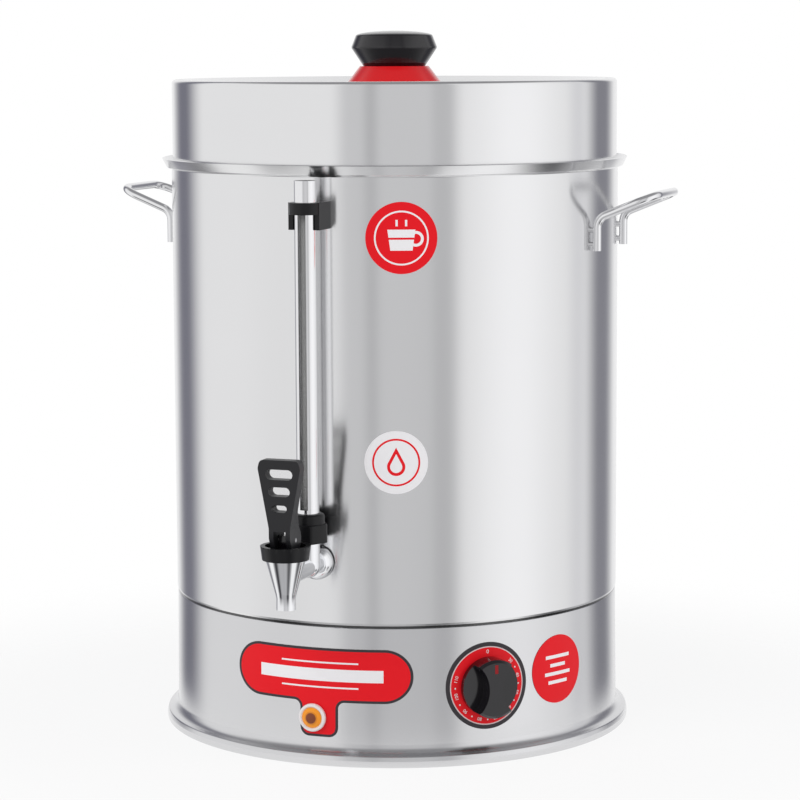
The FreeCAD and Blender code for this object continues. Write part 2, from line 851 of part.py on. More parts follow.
def make_tap_lever():
    """The black lever: a paddle with three slots and a fork over the valve stem."""
    front = lever_front_outline().extrude(OUTWARD * (tap_axis * 1.3))
    width = lever_top_width + 4
    side = lever_side_outline().translated(point(-width / 2, 0, 0)).extrude(SIDEWAYS * width)
    lever = front.common(side)
    for rise, slot_width, slot_height in lever_slots:
        hole = slot_face(slot_width, slot_height, pin_height + rise)
        lever = lever.cut(hole.extrude(OUTWARD * (tap_axis * 1.3)))
    fork_low = pin_height - lever_heel_radius - 1
    fork = block(lever_fork_width, lever_front * 4, lever_fork_rise + lever_heel_radius + 1, 0, -tap_axis, fork_low)
    lever = lever.cut(fork)
    return lever.cut(lever_pin_bar(pin_radius + weld_gap, lever_waist_width + 4))


def lever_pin_bar(radius, length):
    """A bar along the lever's hinge line."""
    return Part.makeCylinder(radius, length, point(-length / 2, -tap_axis, pin_height), SIDEWAYS)


def make_lever_pin():
    """The steel pin that the lever turns on."""
    return lever_pin_bar(pin_radius, lever_waist_width)


def make_valve_stem():
    """The valve's stem: a flat head with a long eye for the pin, and a round shank."""
    centre = -tap_axis
    head_low = pin_height - stem_head_drop
    head = block(stem_head_width, stem_head_depth, stem_head_drop + stem_head_rise, 0, centre, head_low)
    eye_high = pin_height + pin_radius + run_gap
    eye_low = pin_height - valve_lift - pin_radius - run_gap
    eye_width = 2 * (pin_radius + run_gap)
    eye = block(stem_head_width + 2, eye_width, eye_high - eye_low, 0, centre, eye_low)
    shank = post(stem_radius, plug_top - 3, head_low + 0.5, 0, centre)
    return head.cut(eye).fuse(shank).removeSplitter()


def make_valve_plug():
    """The soft valve cup that closes the seat."""
    centre = -tap_axis
    plug = post(plug_radius, plug_bottom + 1.5, plug_top - 1.5, 0, centre)
    low = Part.makeCone(outlet_bore - 0.8, plug_radius, 1.5, point(0, centre, plug_bottom), UP)
    high = Part.makeCone(plug_radius, spring_radius + 0.8, 1.5, point(0, centre, plug_top - 1.5), UP)
    plug = plug.fuse(low).fuse(high).removeSplitter()
    return plug.cut(post(stem_radius + weld_gap, plug_top - 3 - weld_gap, plug_top + 1, 0, centre))


def arc_between(start, heading, end):
    """The arc that leaves a point along a heading and ends at another point."""
    chord = end - start
    along = point(chord.x, chord.y, chord.z).normalize()
    side = heading - along * heading.dot(along)
    angle = heading.getAngle(chord)
    middle = start + chord * 0.5 + side.normalize() * (chord.Length / 2 * math.tan(angle / 2))
    return Part.Arc(start, middle, end).toShape()


def make_valve_spring():
    """The coil spring between the valve cup and the bonnet, as one wire."""
    low = plug_top + spring_wire + weld_gap
    high = spigot_bottom - spring_wire - weld_gap
    pitch = (high - low) / spring_turns
    slope = math.hypot(spring_radius, pitch / (2 * math.pi))

    def place(quarter):
        angle = quarter * math.pi / 2
        return point(spring_radius * math.cos(angle), spring_radius * math.sin(angle), low + pitch * quarter / 4)

    def heading(quarter):
        angle = quarter * math.pi / 2
        return point(-spring_radius * math.sin(angle), spring_radius * math.cos(angle),
                     pitch / (2 * math.pi)) * (1 / slope)

    edges = []
    for quarter in range(spring_turns * 4):
        start, end = place(quarter), place(quarter + 1)
        first, last = heading(quarter), heading(quarter + 1)
        chord = end - start
        bend = 2 * (1 - first.dot(last))
        pull = chord.dot(first + last)
        reach = (math.sqrt(pull ** 2 + bend * chord.dot(chord)) - pull) / bend
        joint = (start + end + (first - last) * reach) * 0.5
        turned_heading = (joint - start - first * reach).normalize()
        edges.append(arc_between(start, first, joint))
        edges.append(arc_between(joint, turned_heading, end))
    path = Part.Wire(edges)
    section = Part.Wire(Part.makeCircle(spring_wire, place(0), heading(0)))
    coil = path.makePipeShell([section], True, False)
    print("spring gap between turns", round(pitch - 2 * spring_wire, 2),
          "volume ratio", round(coil.Volume / (math.pi * spring_wire ** 2 * path.Length), 4))
    return coil.translated(point(0, -tap_axis, 0))


# Sight gauge

def make_gauge_guard():
    """The slotted steel tube round the gauge glass."""
    low = guard_bottom
    guard = post(guard_radius, low, guard_top_height).cut(post(guard_radius - guard_wall, low - 1, guard_top_height + 1))
    half = guard_slot_width / 2
    high = bracket_band_bottom + 2
    slot = block(guard_slot_width, guard_radius * 2, high - guard_slot_bottom - half, 0, -guard_radius,
                 guard_slot_bottom + half)
    slot = slot.fuse(spoke(half, 0, guard_radius * 2, guard_slot_bottom + half))
    return guard.cut(slot).translated(point(0, -gauge_axis, 0))


def make_gauge_glass():
    """The clear tube that shows the water level."""
    high = guard_top_height - glass_top_drop
    low = glass_bottom + weld_gap
    tube = post(glass_radius, low, high, 0, -gauge_axis)
    return tube.cut(post(glass_radius - glass_wall, low - 1, high + 1, 0, -gauge_axis))


def make_gauge_cap():
    """The small vented plug in the top of the guard tube."""
    radius = guard_radius - guard_wall - weld_gap
    cap = post(radius, guard_top_height - cap_height, guard_top_height, 0, -gauge_axis)
    collar = post(glass_radius + run_gap, guard_top_height - cap_height - 1,
                  guard_top_height - cap_height + 3, 0, -gauge_axis)
    return cap.cut(post(cap_vent_radius, 0, guard_top_height + 1, 0, -gauge_axis)).cut(collar)


def make_gauge_nut():
    """The black nut that holds the guard and the glass on the tap's socket."""
    start = point(0, -gauge_axis, gauge_nut_bottom)
    nut = hexagon(gauge_nut_flats, start, UP, gauge_nut_hex_height)
    ball = Part.makeCylinder(gauge_nut_flats * 0.555, gauge_nut_hex_height, start, UP)
    nut = nut.common(ball)
    nut = nut.fuse(post(gauge_nut_collar_radius, gauge_nut_bottom, gauge_nut_top, 0, -gauge_axis))
    rim = [edge for edge in nut.Edges if abs(edge.BoundBox.ZMin - gauge_nut_top) < 1e-6
           and abs(edge.BoundBox.ZMax - gauge_nut_top) < 1e-6]
    nut = nut.makeFillet(2.4, rim)
    nut = nut.cut(post(guard_radius + weld_gap, guard_bottom, gauge_nut_top + 1, 0, -gauge_axis))
    nut = nut.cut(post(glass_radius + run_gap, gauge_nut_bottom, gauge_nut_top + 1, 0, -gauge_axis))
    seal_top = socket_top + gauge_seal_height
    return nut.cut(post(socket_radius + weld_gap, gauge_nut_bottom - 1, seal_top, 0, -gauge_axis))


def make_gauge_seal():
    """The rubber ring that grips the glass on the socket."""
    high = socket_top + gauge_seal_height
    seal = post(socket_radius - weld_gap, socket_top, high, 0, -gauge_axis)
    return seal.cut(post(glass_radius + weld_gap, socket_top - 1, high + 1, 0, -gauge_axis))


def make_gauge_bracket():
    """The black clip that carries the gauge's top on the tank wall."""
    half = bracket_width / 2
    depth = gauge_reach + guard_radius * 0.4
    cheeks = block(bracket_width, depth + 2, bracket_height, 0, -(body_radius + depth / 2 - 1), bracket_bottom)
    band = post(half, bracket_band_bottom, bracket_top_height, 0, -gauge_axis)
    bracket = cheeks.fuse(band).removeSplitter()
    bracket = bracket.cut(post(guard_radius + run_gap, bracket_bottom - 1, bracket_top_height + 1, 0, -gauge_axis))
    window = block(2 * guard_radius, guard_radius * 2, bracket_height - bracket_band_height + 1, 0,
                   -(gauge_axis + guard_radius), bracket_bottom - 1)
    bracket = bracket.cut(window).cut(post(body_radius + run_gap, 0, rim_height))
    height = bracket_bottom + bracket_height / 2
    return bracket.cut(spoke(bracket_screw_radius + weld_gap, body_radius - 1,
                             body_radius + bracket_screw_depth + 1, height))


def make_gauge_bracket_screw():
    """The screw from inside the tank into the clip."""
    height = bracket_bottom + bracket_height / 2
    seat = tank_inner_radius - 1.2
    shank = spoke(bracket_screw_radius, seat, body_radius + bracket_screw_depth, height)
    return shank.fuse(spoke(bracket_screw_radius * 2, seat - 2.2, seat, height)).removeSplitter()


def make_gauge_bracket_seal():
    """The rubber washer under that screw's head."""
    height = bracket_bottom + bracket_height / 2
    seal = spoke(bracket_screw_radius * 2.4, tank_inner_radius - 1.2, tank_inner_radius + 1, height)
    seal = seal.cut(spoke(bracket_screw_radius + weld_gap, body_radius / 2, body_radius, height))
    return seal.common(post(tank_inner_radius - weld_gap, 0, rim_height))


# Thermostat

def dial_screw_sides():
    """How far each of the two thermostat screws lies to the side of the shaft."""
    return (-dial_screw_spacing / 2, dial_screw_spacing / 2)


def make_dial_plate():
    """The round dial behind the control knob, which follows the base's wall."""
    plate = outward_prism(disc_face(dial_radius, dial_height)).common(base_skin(label_glue, label_thickness))
    plate = plate.cut(spoke(bush_radius + screw_play, 0, body_radius * 1.2, dial_height))
    for side in dial_screw_sides():
        plate = plate.cut(spoke(dial_screw_radius + screw_play, 0, body_radius * 1.2, dial_height, side))
    return turned(plate, dial_azimuth)


def make_thermostat_body():
    """The thermostat's case with the bush that passes the wall."""
    wall = base_radius(dial_height)
    front = wall - sheet - thermostat_front_gap
    box = block(thermostat_width, thermostat_depth, thermostat_height, 0, -(front - thermostat_depth / 2),
                dial_height - thermostat_height / 2)
    bush = spoke(bush_radius, front - 1, front - 1 + bush_length, dial_height)
    pads = box.fuse(bush)
    for side in dial_screw_sides():
        pads = pads.fuse(spoke(dial_screw_radius * 2, front - 1, wall - sheet - 1.2, dial_height, side))
    pads = pads.cut(spoke(shaft_radius + weld_gap, front - 12, wall + 10, dial_height))
    for side in dial_screw_sides():
        pads = pads.cut(spoke(dial_screw_radius + weld_gap, front - 8, wall + 1, dial_height, side))
    return turned(pads, dial_azimuth)


def make_thermostat_screws():
    """The two screws that hold the thermostat through the wall, under the knob."""
    wall = base_radius(dial_height)
    front = wall - sheet - thermostat_front_gap
    screws = []
    for side in dial_screw_sides():
        seat = wall + label_thickness - side ** 2 / (2 * wall) + 0.3
        screw = spoke(dial_screw_radius, front - 7, seat, dial_height, side)
        head = spoke(dial_screw_head, seat, seat + 1.6, dial_height, side)
        screws.append(turned(screw.fuse(head).removeSplitter(), dial_azimuth))
    return Part.makeCompound(screws)


def knob_back():
    """The distance of the control knob's back from the axis."""
    return base_radius(dial_height) + label_thickness + control_knob_gap


def make_thermostat_shaft():
    """The shaft that turns with the control knob."""
    wall = base_radius(dial_height)
    start = wall - sheet - thermostat_front_gap - 11
    shaft = spoke(shaft_radius, start, knob_back() + control_knob_height - control_knob_skirt, dial_height)
    flat = block(shaft_radius * 2, control_knob_height, shaft_radius, 0, -(knob_back() + control_knob_height / 2),
                 dial_height + shaft_radius * 0.5)
    return turned(shaft.cut(flat), dial_azimuth)


def make_thermostat_knob():
    """The control knob: a skirted disc with a waisted grip bar."""
    back = knob_back()
    front = back + control_knob_height
    knob = spoke(control_knob_radius, back, front - 2, dial_height)
    crown = Part.makeCone(control_knob_radius, control_knob_radius - 2, 2, point(0, -(front - 2), dial_height), OUTWARD)
    knob = knob.fuse(crown).removeSplitter()
    for side in (-1, 1):
        middle = side * (grip_waist / 2 + grip_flank_radius)
        knob = knob.cut(spoke(grip_flank_radius, back + control_knob_skirt, front + 1, dial_height, middle))
    cavity = spoke(control_knob_radius - control_knob_wall, back - 1, back + control_knob_skirt - 1, dial_height)
    knob = knob.cut(cavity)
    hub = spoke(shaft_radius + 2, back + 0.4, back + control_knob_skirt, dial_height)
    knob = knob.fuse(hub)
    bore = spoke(shaft_radius + weld_gap, back - 1, front - control_knob_skirt + weld_gap, dial_height)
    flat = block(shaft_radius * 3, control_knob_height * 2, shaft_radius, 0, -(back + control_knob_height / 2),
                 dial_height + shaft_radius * 0.5 + weld_gap)
    bore = bore.cut(flat)
    knob = knob.cut(bore).cut(pointer_block(weld_gap))
    return turned(knob.removeSplitter(), dial_azimuth)


def pointer_block(play):
    """The pointer's inlay in the grip's front, with some play round it."""
    front = knob_back() + control_knob_height
    length = pointer_length + 2 * play
    middle = dial_height + control_knob_radius - 3.4 - pointer_length / 2
    return block(pointer_width + 2 * play, pointer_depth + play, length, 0, -(front - (pointer_depth + play) / 2),
                 middle - length / 2)


def make_knob_pointer():
    """The red mark on the knob's grip."""
    return turned(pointer_block(0), dial_azimuth)


# Pilot lamp and labels

def make_front_label():
    """The red label under the tap: a long rounded shape with a tab round the lamp."""
    half = label_half_length
    low = label_bottom
    high = low + label_height
    tab = label_tab_width / 2
    corners = [point(0, 0, high), point(half, 0, high), point(half, 0, low), point(tab, 0, low),
               point(tab, 0, label_tab_bottom), point(-tab, 0, label_tab_bottom), point(-tab, 0, low),
               point(-half, 0, low), point(-half, 0, high), point(0, 0, high)]
    round_end = label_height / 2 - 0.1
    corner = label_tab_corner
    radii = [round_end, round_end, corner * 0.7, corner, corner, corner * 0.7, round_end, round_end]
    face = Part.Face(Part.Wire(rounded_edges(corners, radii)))
    label = outward_prism(face).common(base_skin(label_glue, label_thickness))
    return label.cut(turned(spoke(lamp_body_radius + screw_play, 0, body_radius * 1.2, lamp_height), lamp_azimuth))


def bezel_back():
    """The distance of the bezel's back from the axis."""
    return base_radius(label_tab_bottom) + label_thickness + weld_gap


def make_pilot_lamp_bezel():
    """The chrome ring round the lamp."""
    back = bezel_back()
    front = back + bezel_height
    ring = spoke(bezel_radius, back, front, lamp_height)
    edge = [edge for edge in ring.Edges if abs(edge.BoundBox.YMax + front) < 1e-6
            and abs(edge.BoundBox.YMin + front) < 1e-6]
    ring = ring.makeFillet(bezel_height * 0.5, edge)
    ring = ring.cut(spoke(lens_radius + weld_gap, back + 0.8, front + 1, lamp_height))
    return turned(ring.cut(spoke(lamp_body_radius + weld_gap, back - 1, front, lamp_height)), lamp_azimuth)


def make_pilot_lamp_lens():
    """The amber lens, a low dome in the bezel."""
    back = bezel_back() + 0.8
    rim = spoke(lens_radius, back, back + bezel_height * 0.5, lamp_height)
    ball_radius = (lens_radius ** 2 + lens_dome ** 2) / (2 * lens_dome)
    centre = back + bezel_height * 0.5 + lens_dome - ball_radius
    dome = Part.makeSphere(ball_radius, point(0, -centre, lamp_height))
    cap = dome.common(spoke(lens_radius, back + bezel_height * 0.5, back + bezel_height * 2, lamp_height))
    return turned(rim.fuse(cap).removeSplitter(), lamp_azimuth)


def make_pilot_lamp_body():
    """The lamp's threaded body through the wall, with two blades behind."""
    end = bezel_back() + 0.8 - weld_gap
    start = end - lamp_body_length
    body = spoke(lamp_body_radius, start, end, lamp_height)
    for side in (-3.0, 3.0):
        body = body.fuse(block(0.8, 9, 4.8, side, -(start - 4), lamp_height - 2.4))
    return turned(body.removeSplitter(), lamp_azimuth)


def make_pilot_lamp_nut():
    """The nut on the lamp's body inside the base."""
    end = base_radius(lamp_height) - sheet - 0.5
    nut = hexagon(lamp_nut_flats, point(0, -(end - lamp_nut_height), lamp_height), OUTWARD, lamp_nut_height)
    return turned(nut.cut(spoke(lamp_body_radius + weld_gap, end - 10, end + 1, lamp_height)), lamp_azimuth)


def make_sticker(azimuth, height, radius, skin):
    """A round sticker that follows a wall."""
    return turned(outward_prism(disc_face(radius, height)).common(skin), azimuth)


def tank_skin():
    """The layer that a sticker on the tank fills."""
    outer = post(body_radius + label_thickness, seam_height + 10, shelf_height - 5)
    return outer.cut(post(body_radius + label_glue, seam_height, shelf_height))


def make_red_badge():
    """The red badge, high on the tank."""
    return make_sticker(red_badge_azimuth, red_badge_height, red_badge_radius, tank_skin())


def make_white_badge():
    """The white badge, low on the tank."""
    return make_sticker(white_badge_azimuth, white_badge_height, white_badge_radius, tank_skin())


def make_setting_sticker():
    """The red sticker beside the dial."""
    return make_sticker(setting_sticker_azimuth, setting_sticker_height, setting_sticker_radius,
                        base_skin(label_glue, label_thickness))


# Cable gland

def make_cable_gland():
    """The gland's body: thread through the wall, flange and a round cap, bored for the cable."""
    wall = base_radius(gland_height - gland_flats / 2)
    seat = wall + 0.2
    body = spoke(gland_thread_radius, base_radius(gland_height) - gland_inside, seat, gland_height)
    flange = hexagon(gland_flats, point(0, -seat, gland_height), OUTWARD, gland_flange)
    cap = Part.makeCone(gland_flats / 2 - 0.6, gland_bore + 2.4, gland_dome, point(0, -(seat + gland_flange), gland_height),
                        OUTWARD)
    body = body.fuse(flange).fuse(cap).removeSplitter()
    return turned(body.cut(spoke(gland_bore, body_radius / 2, wall * 1.5, gland_height)), 180)


def make_gland_nut():
    """The gland's nut inside the base."""
    end = base_radius(gland_height) - sheet - 0.9
    nut = hexagon(gland_flats, point(0, -(end - gland_nut_height), gland_height), OUTWARD, gland_nut_height)
    return turned(nut.cut(spoke(gland_thread_radius + weld_gap, end - 10, end + 1, gland_height)), 180)


# Parts held inside the base

def make_thermostat_sensor():
    """The thermostat's bulb under the tank floor and its thin tube."""
    level = floor_bottom - bulb_radius
    bulb = Part.makeCylinder(bulb_radius, bulb_length, point(bulb_x, bulb_y, level), point(0, 1, 0))
    wall = base_radius(dial_height)
    case_back = wall - sheet - thermostat_front_gap - thermostat_depth
    port = around(dial_azimuth, case_back, dial_height)
    inward = around(dial_azimuth, case_back - 34, dial_height)
    corners = [port, inward, point(inward.x - 14, inward.y + 6, level - 16),
               point(bulb_x, bulb_y - 36, level), point(bulb_x, bulb_y + 1, level)]
    tube = rod(corners, [14, 12, 12], capillary_radius)
    return bulb.fuse(tube).removeSplitter()


def make_sensor_clip():
    """The strap that holds the bulb against the floor."""
    outer = bulb_radius + clip_sheet + weld_gap
    level = floor_bottom - bulb_radius
    middle = bulb_y + bulb_length / 2
    loop = Part.makeCylinder(outer, clip_width, point(bulb_x, middle - clip_width / 2, level), point(0, 1, 0))
    box = block(outer * 2, clip_width, floor_bottom - level, bulb_x, middle, level)
    feet = block(outer * 2 + 16, clip_width, clip_sheet, bulb_x, middle, floor_bottom - clip_sheet)
    strap = loop.fuse(box).fuse(feet)
    hole = Part.makeCylinder(bulb_radius + weld_gap, clip_width + 2, point(bulb_x, middle - clip_width / 2 - 1, level),
                             point(0, 1, 0))
    slot = block((bulb_radius + weld_gap) * 2, clip_width + 2, bulb_radius + 2, bulb_x, middle, level)
    strap = strap.cut(hole).cut(slot)
    return strap.common(post(body_radius, 0, floor_bottom)).removeSplitter()


def make_cutout():
    """The safety cut-out under the floor, with two ears."""
    body = post(cutout_radius, floor_bottom - cutout_height, floor_bottom, cutout_x, cutout_y)
    ears = block(cutout_ear_length, cutout_ear_width, cutout_ear_sheet, cutout_x, cutout_y,
                 floor_bottom - cutout_ear_sheet)
    cutout = body.fuse(ears)
    for side in (-4.0, 4.0):
        blade = block(0.8, 5.0, 9.0, cutout_x + side, cutout_y, floor_bottom - cutout_height - 8)
        cutout = cutout.fuse(blade)
    for x in cutout_screw_places():
        cutout = cutout.cut(post(small_screw_radius + screw_play, 0, floor_top, x, cutout_y))
    return cutout.removeSplitter()


def cutout_screw_places():
    """The x of the cut-out's two fixing studs."""
    reach = (cutout_ear_length + 2 * cutout_radius) / 4 + 1
    return (cutout_x - reach, cutout_x + reach)


def make_cutout_studs():
    """The cut-out's two weld studs with their nuts."""
    studs = []
    for x in cutout_screw_places():
        low = floor_bottom - cutout_ear_sheet
        stud = post(small_screw_radius, low - 4, floor_bottom, x, cutout_y)
        nut = post(small_screw_head, low - small_screw_head_height, low, x, cutout_y)
        studs.append(stud.fuse(nut).removeSplitter())
    return Part.makeCompound(studs)


def block_screw_places():
    """The x of the terminal block's two screws."""
    reach = block_length / 2 - 4
    return (-reach, reach)


def make_terminal_block():
    """The terminal block on the bottom cover, with a row of wells."""
    body = block(block_length, block_width, block_height, 0, block_y, flange_height)
    top = flange_height + block_height
    step = (block_length - 16) / block_wells
    for place in range(block_wells):
        x = -block_length / 2 + 8 + step * (place + 0.5)
        body = body.cut(post(block_well_radius, flange_height + 4, top + 1, x, block_y))
    for x in block_screw_places():
        body = body.cut(post(small_screw_radius + screw_play, 0, top + 1, x, block_y))
        body = body.cut(post(small_screw_head + screw_play, flange_height + 8, top + 1, x, block_y))
    return body


def make_terminal_block_screws():
    """The terminal block's two screws with their nuts below the cover."""
    screws = []
    for x in block_screw_places():
        shank = post(small_screw_radius, cover_bottom - 3, flange_height + 8, x, block_y)
        head = post(small_screw_head, flange_height + 8, flange_height + 8 + small_screw_head_height, x, block_y)
        nut = post(small_screw_head, cover_bottom - 2.4, cover_bottom, x, block_y)
        screws.append(shank.fuse(head).fuse(nut).removeSplitter())
    return Part.makeCompound(screws)


def make_earth_stud():
    """The earth stud welded under the tank floor, with its nut."""
    stud = post(stud_radius, floor_bottom - stud_length, floor_bottom, stud_x, stud_y)
    nut = hexagon(stud_nut_flats, point(stud_x, stud_y, floor_bottom - 8), UP, 4)
    return stud.fuse(nut).removeSplitter()


def make_inner_leads():
    """The leads from the terminal block to the heater's two terminals and to the earth stud."""
    top = flange_height + block_height
    step = (block_length - 16) / block_wells
    leads = []
    ends = [(0, point(-element_leg_half, element_leg_y, floor_bottom - element_tail - terminal_length)),
            (4, point(element_leg_half, element_leg_y, floor_bottom - element_tail - terminal_length)),
            (3, point(stud_x, stud_y, floor_bottom - stud_length))]
    for well, end in ends:
        x = -block_length / 2 + 8 + step * (well + 0.5)
        start = point(x, block_y, flange_height + 4)
        over = point(x, block_y, top + 12)
        under = point(end.x, end.y, end.z - 16)
        bend = 0.42 * min((under - over).Length, 16)
        leads.append(rod([start, over, under, end], [bend, bend], lead_radius))
    return Part.makeCompound(leads)


PARTS = {
    "tank_wall": make_tank_wall,
    "tank_floor": make_tank_floor,
    "heating_element": make_heating_element,
    "element_seals": make_element_seals,
    "element_nuts": make_element_nuts,
    "handle_right": lambda: make_handle(1),
    "handle_left": lambda: make_handle(-1),
    "base_shell": make_base_shell,
    "base_flange": make_base_flange,
    "bottom_cover": make_bottom_cover,
    "tie_rods": make_tie_rods,
    "tie_rod_nuts": make_tie_rod_nuts,
    "lid_shell": make_lid_shell,
    "lid_inner_ring": make_lid_inner_ring,
    "lid_knob_base": make_lid_knob_base,
    "lid_knob": make_lid_knob,
    "lid_knob_screw": make_lid_knob_screw,
    "lid_knob_washer": make_lid_knob_washer,
    "tap_body": make_tap_body,
    "tap_collar": make_tap_collar,
    "tap_seals": make_tap_seals,
    "tap_lock_nut": make_tap_lock_nut,
    "tap_bonnet": make_tap_bonnet,
    "tap_lever": make_tap_lever,
    "lever_pin": make_lever_pin,
    "valve_stem": make_valve_stem,
    "valve_plug": make_valve_plug,
    "valve_spring": make_valve_spring,
    "gauge_guard": make_gauge_guard,
    "gauge_glass": make_gauge_glass,
    "gauge_cap": make_gauge_cap,
    "gauge_nut": make_gauge_nut,
    "gauge_seal": make_gauge_seal,
    "gauge_bracket": make_gauge_bracket,
    "gauge_bracket_screw": make_gauge_bracket_screw,
    "gauge_bracket_seal": make_gauge_bracket_seal,
    "dial_plate": make_dial_plate,
    "thermostat_body": make_thermostat_body,
    "thermostat_screws": make_thermostat_screws,
    "thermostat_shaft": make_thermostat_shaft,
    "thermostat_knob": make_thermostat_knob,
    "knob_pointer": make_knob_pointer,
    "front_label": make_front_label,
    "pilot_lamp_bezel": make_pilot_lamp_bezel,
    "pilot_lamp_lens": make_pilot_lamp_lens,
    "pilot_lamp_body": make_pilot_lamp_body,
    "pilot_lamp_nut": make_pilot_lamp_nut,
    "red_badge": make_red_badge,
    "white_badge": make_white_badge,
    "setting_sticker": make_setting_sticker,
    "cable_gland": make_cable_gland,
    "gland_nut": make_gland_nut,
    "thermostat_sensor": make_thermostat_sensor,
    "sensor_clip": make_sensor_clip,
    "safety_cutout": make_cutout,
    "cutout_studs": make_cutout_studs,
    "terminal_block": make_terminal_block,
    "terminal_block_screws": make_terminal_block_screws,
    "earth_stud": make_earth_stud,
    "inner_leads": make_inner_leads,
}


def main():
    """Write one file for each part of the urn."""
    os.makedirs("parts", exist_ok=True)
    for name, make in PARTS.items():
        shape = make()
        if not shape.isValid() or not shape.Solids:
            print("not valid:", name)
        shape.exportStep("parts/" + name + ".step")
        print(name, "solids", len(shape.Solids), "volume", round(shape.Volume, 1))


main()
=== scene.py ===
"""Looks of the hot water urn: brushed steel tank and base, chromed tap and gauge, black and red plastic."""

import json
import logging
import math
from dataclasses import dataclass, field
from enum import Enum
from functools import reduce
from typing import Any, Callable, Sequence

import bpy
import numpy as np
from mathutils import Matrix, Vector

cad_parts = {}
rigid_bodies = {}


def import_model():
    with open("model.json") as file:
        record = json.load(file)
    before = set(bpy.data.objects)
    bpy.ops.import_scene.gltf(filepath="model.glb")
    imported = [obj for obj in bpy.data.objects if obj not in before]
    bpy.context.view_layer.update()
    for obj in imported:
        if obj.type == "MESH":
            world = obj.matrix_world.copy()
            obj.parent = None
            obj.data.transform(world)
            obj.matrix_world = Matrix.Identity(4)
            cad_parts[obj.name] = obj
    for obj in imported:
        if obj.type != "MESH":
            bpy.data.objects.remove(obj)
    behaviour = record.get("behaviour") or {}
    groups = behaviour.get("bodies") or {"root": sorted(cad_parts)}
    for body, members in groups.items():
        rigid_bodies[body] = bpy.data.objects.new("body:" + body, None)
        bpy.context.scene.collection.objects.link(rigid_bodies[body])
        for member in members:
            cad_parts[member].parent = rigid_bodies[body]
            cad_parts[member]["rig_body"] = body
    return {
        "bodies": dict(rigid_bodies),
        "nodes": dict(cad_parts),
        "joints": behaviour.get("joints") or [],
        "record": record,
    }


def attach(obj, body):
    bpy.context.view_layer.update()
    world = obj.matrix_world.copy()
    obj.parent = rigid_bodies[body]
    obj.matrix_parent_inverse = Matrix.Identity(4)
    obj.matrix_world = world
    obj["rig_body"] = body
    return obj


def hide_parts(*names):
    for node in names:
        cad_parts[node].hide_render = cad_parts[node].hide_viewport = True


logging.basicConfig(level=logging.INFO, format="%(message)s")
LOG = logging.getLogger("urn")
MM = 0.001
Array = np.ndarray


class Around(Enum):
    """How finely a round piece is divided, in steps for a full turn."""

    TANK = 384
    TUBE = 96
    KNOB = 144
    ROD = 32


class Layer(Enum):
    """What a printed foil shows."""

    RED_BADGE = "red badge"
    WHITE_BADGE = "white badge"
    SETTING = "setting sticker"
    DIAL = "dial"
    LABEL = "front label"


# Shader maths


def operator(operation: str, swapped: bool = False) -> Callable[..., "Socket"]:
    """A method that puts a socket and other values through one Math node.

    Args:
        operation: The Math node's operation.
        swapped: Whether the other value comes first.

    Returns:
        The method.
    """
    def method(self: "Socket", *others: Any) -> "Socket":
        """The operation's result."""
        return self.shader.maths(operation, *((*others, self) if swapped else (self, *others)))

    return method


class Socket:
    """A node's output that takes part in sums, so that shader maths reads as arithmetic."""

    def __init__(self, shader: "Shader", out: bpy.types.NodeSocket) -> None:
        """Keeps the material that the output belongs to."""
        self.shader = shader
        self.out = out

    __add__ = __radd__ = operator("ADD")
    __sub__ = operator("SUBTRACT")
    __rsub__ = operator("SUBTRACT", swapped=True)
    __mul__ = __rmul__ = operator("MULTIPLY")
    __truediv__ = operator("DIVIDE")
    __lt__ = operator("LESS_THAN")
    __gt__ = operator("GREATER_THAN")
    __abs__ = operator("ABSOLUTE")
    power = operator("POWER")
    most = operator("MAXIMUM")


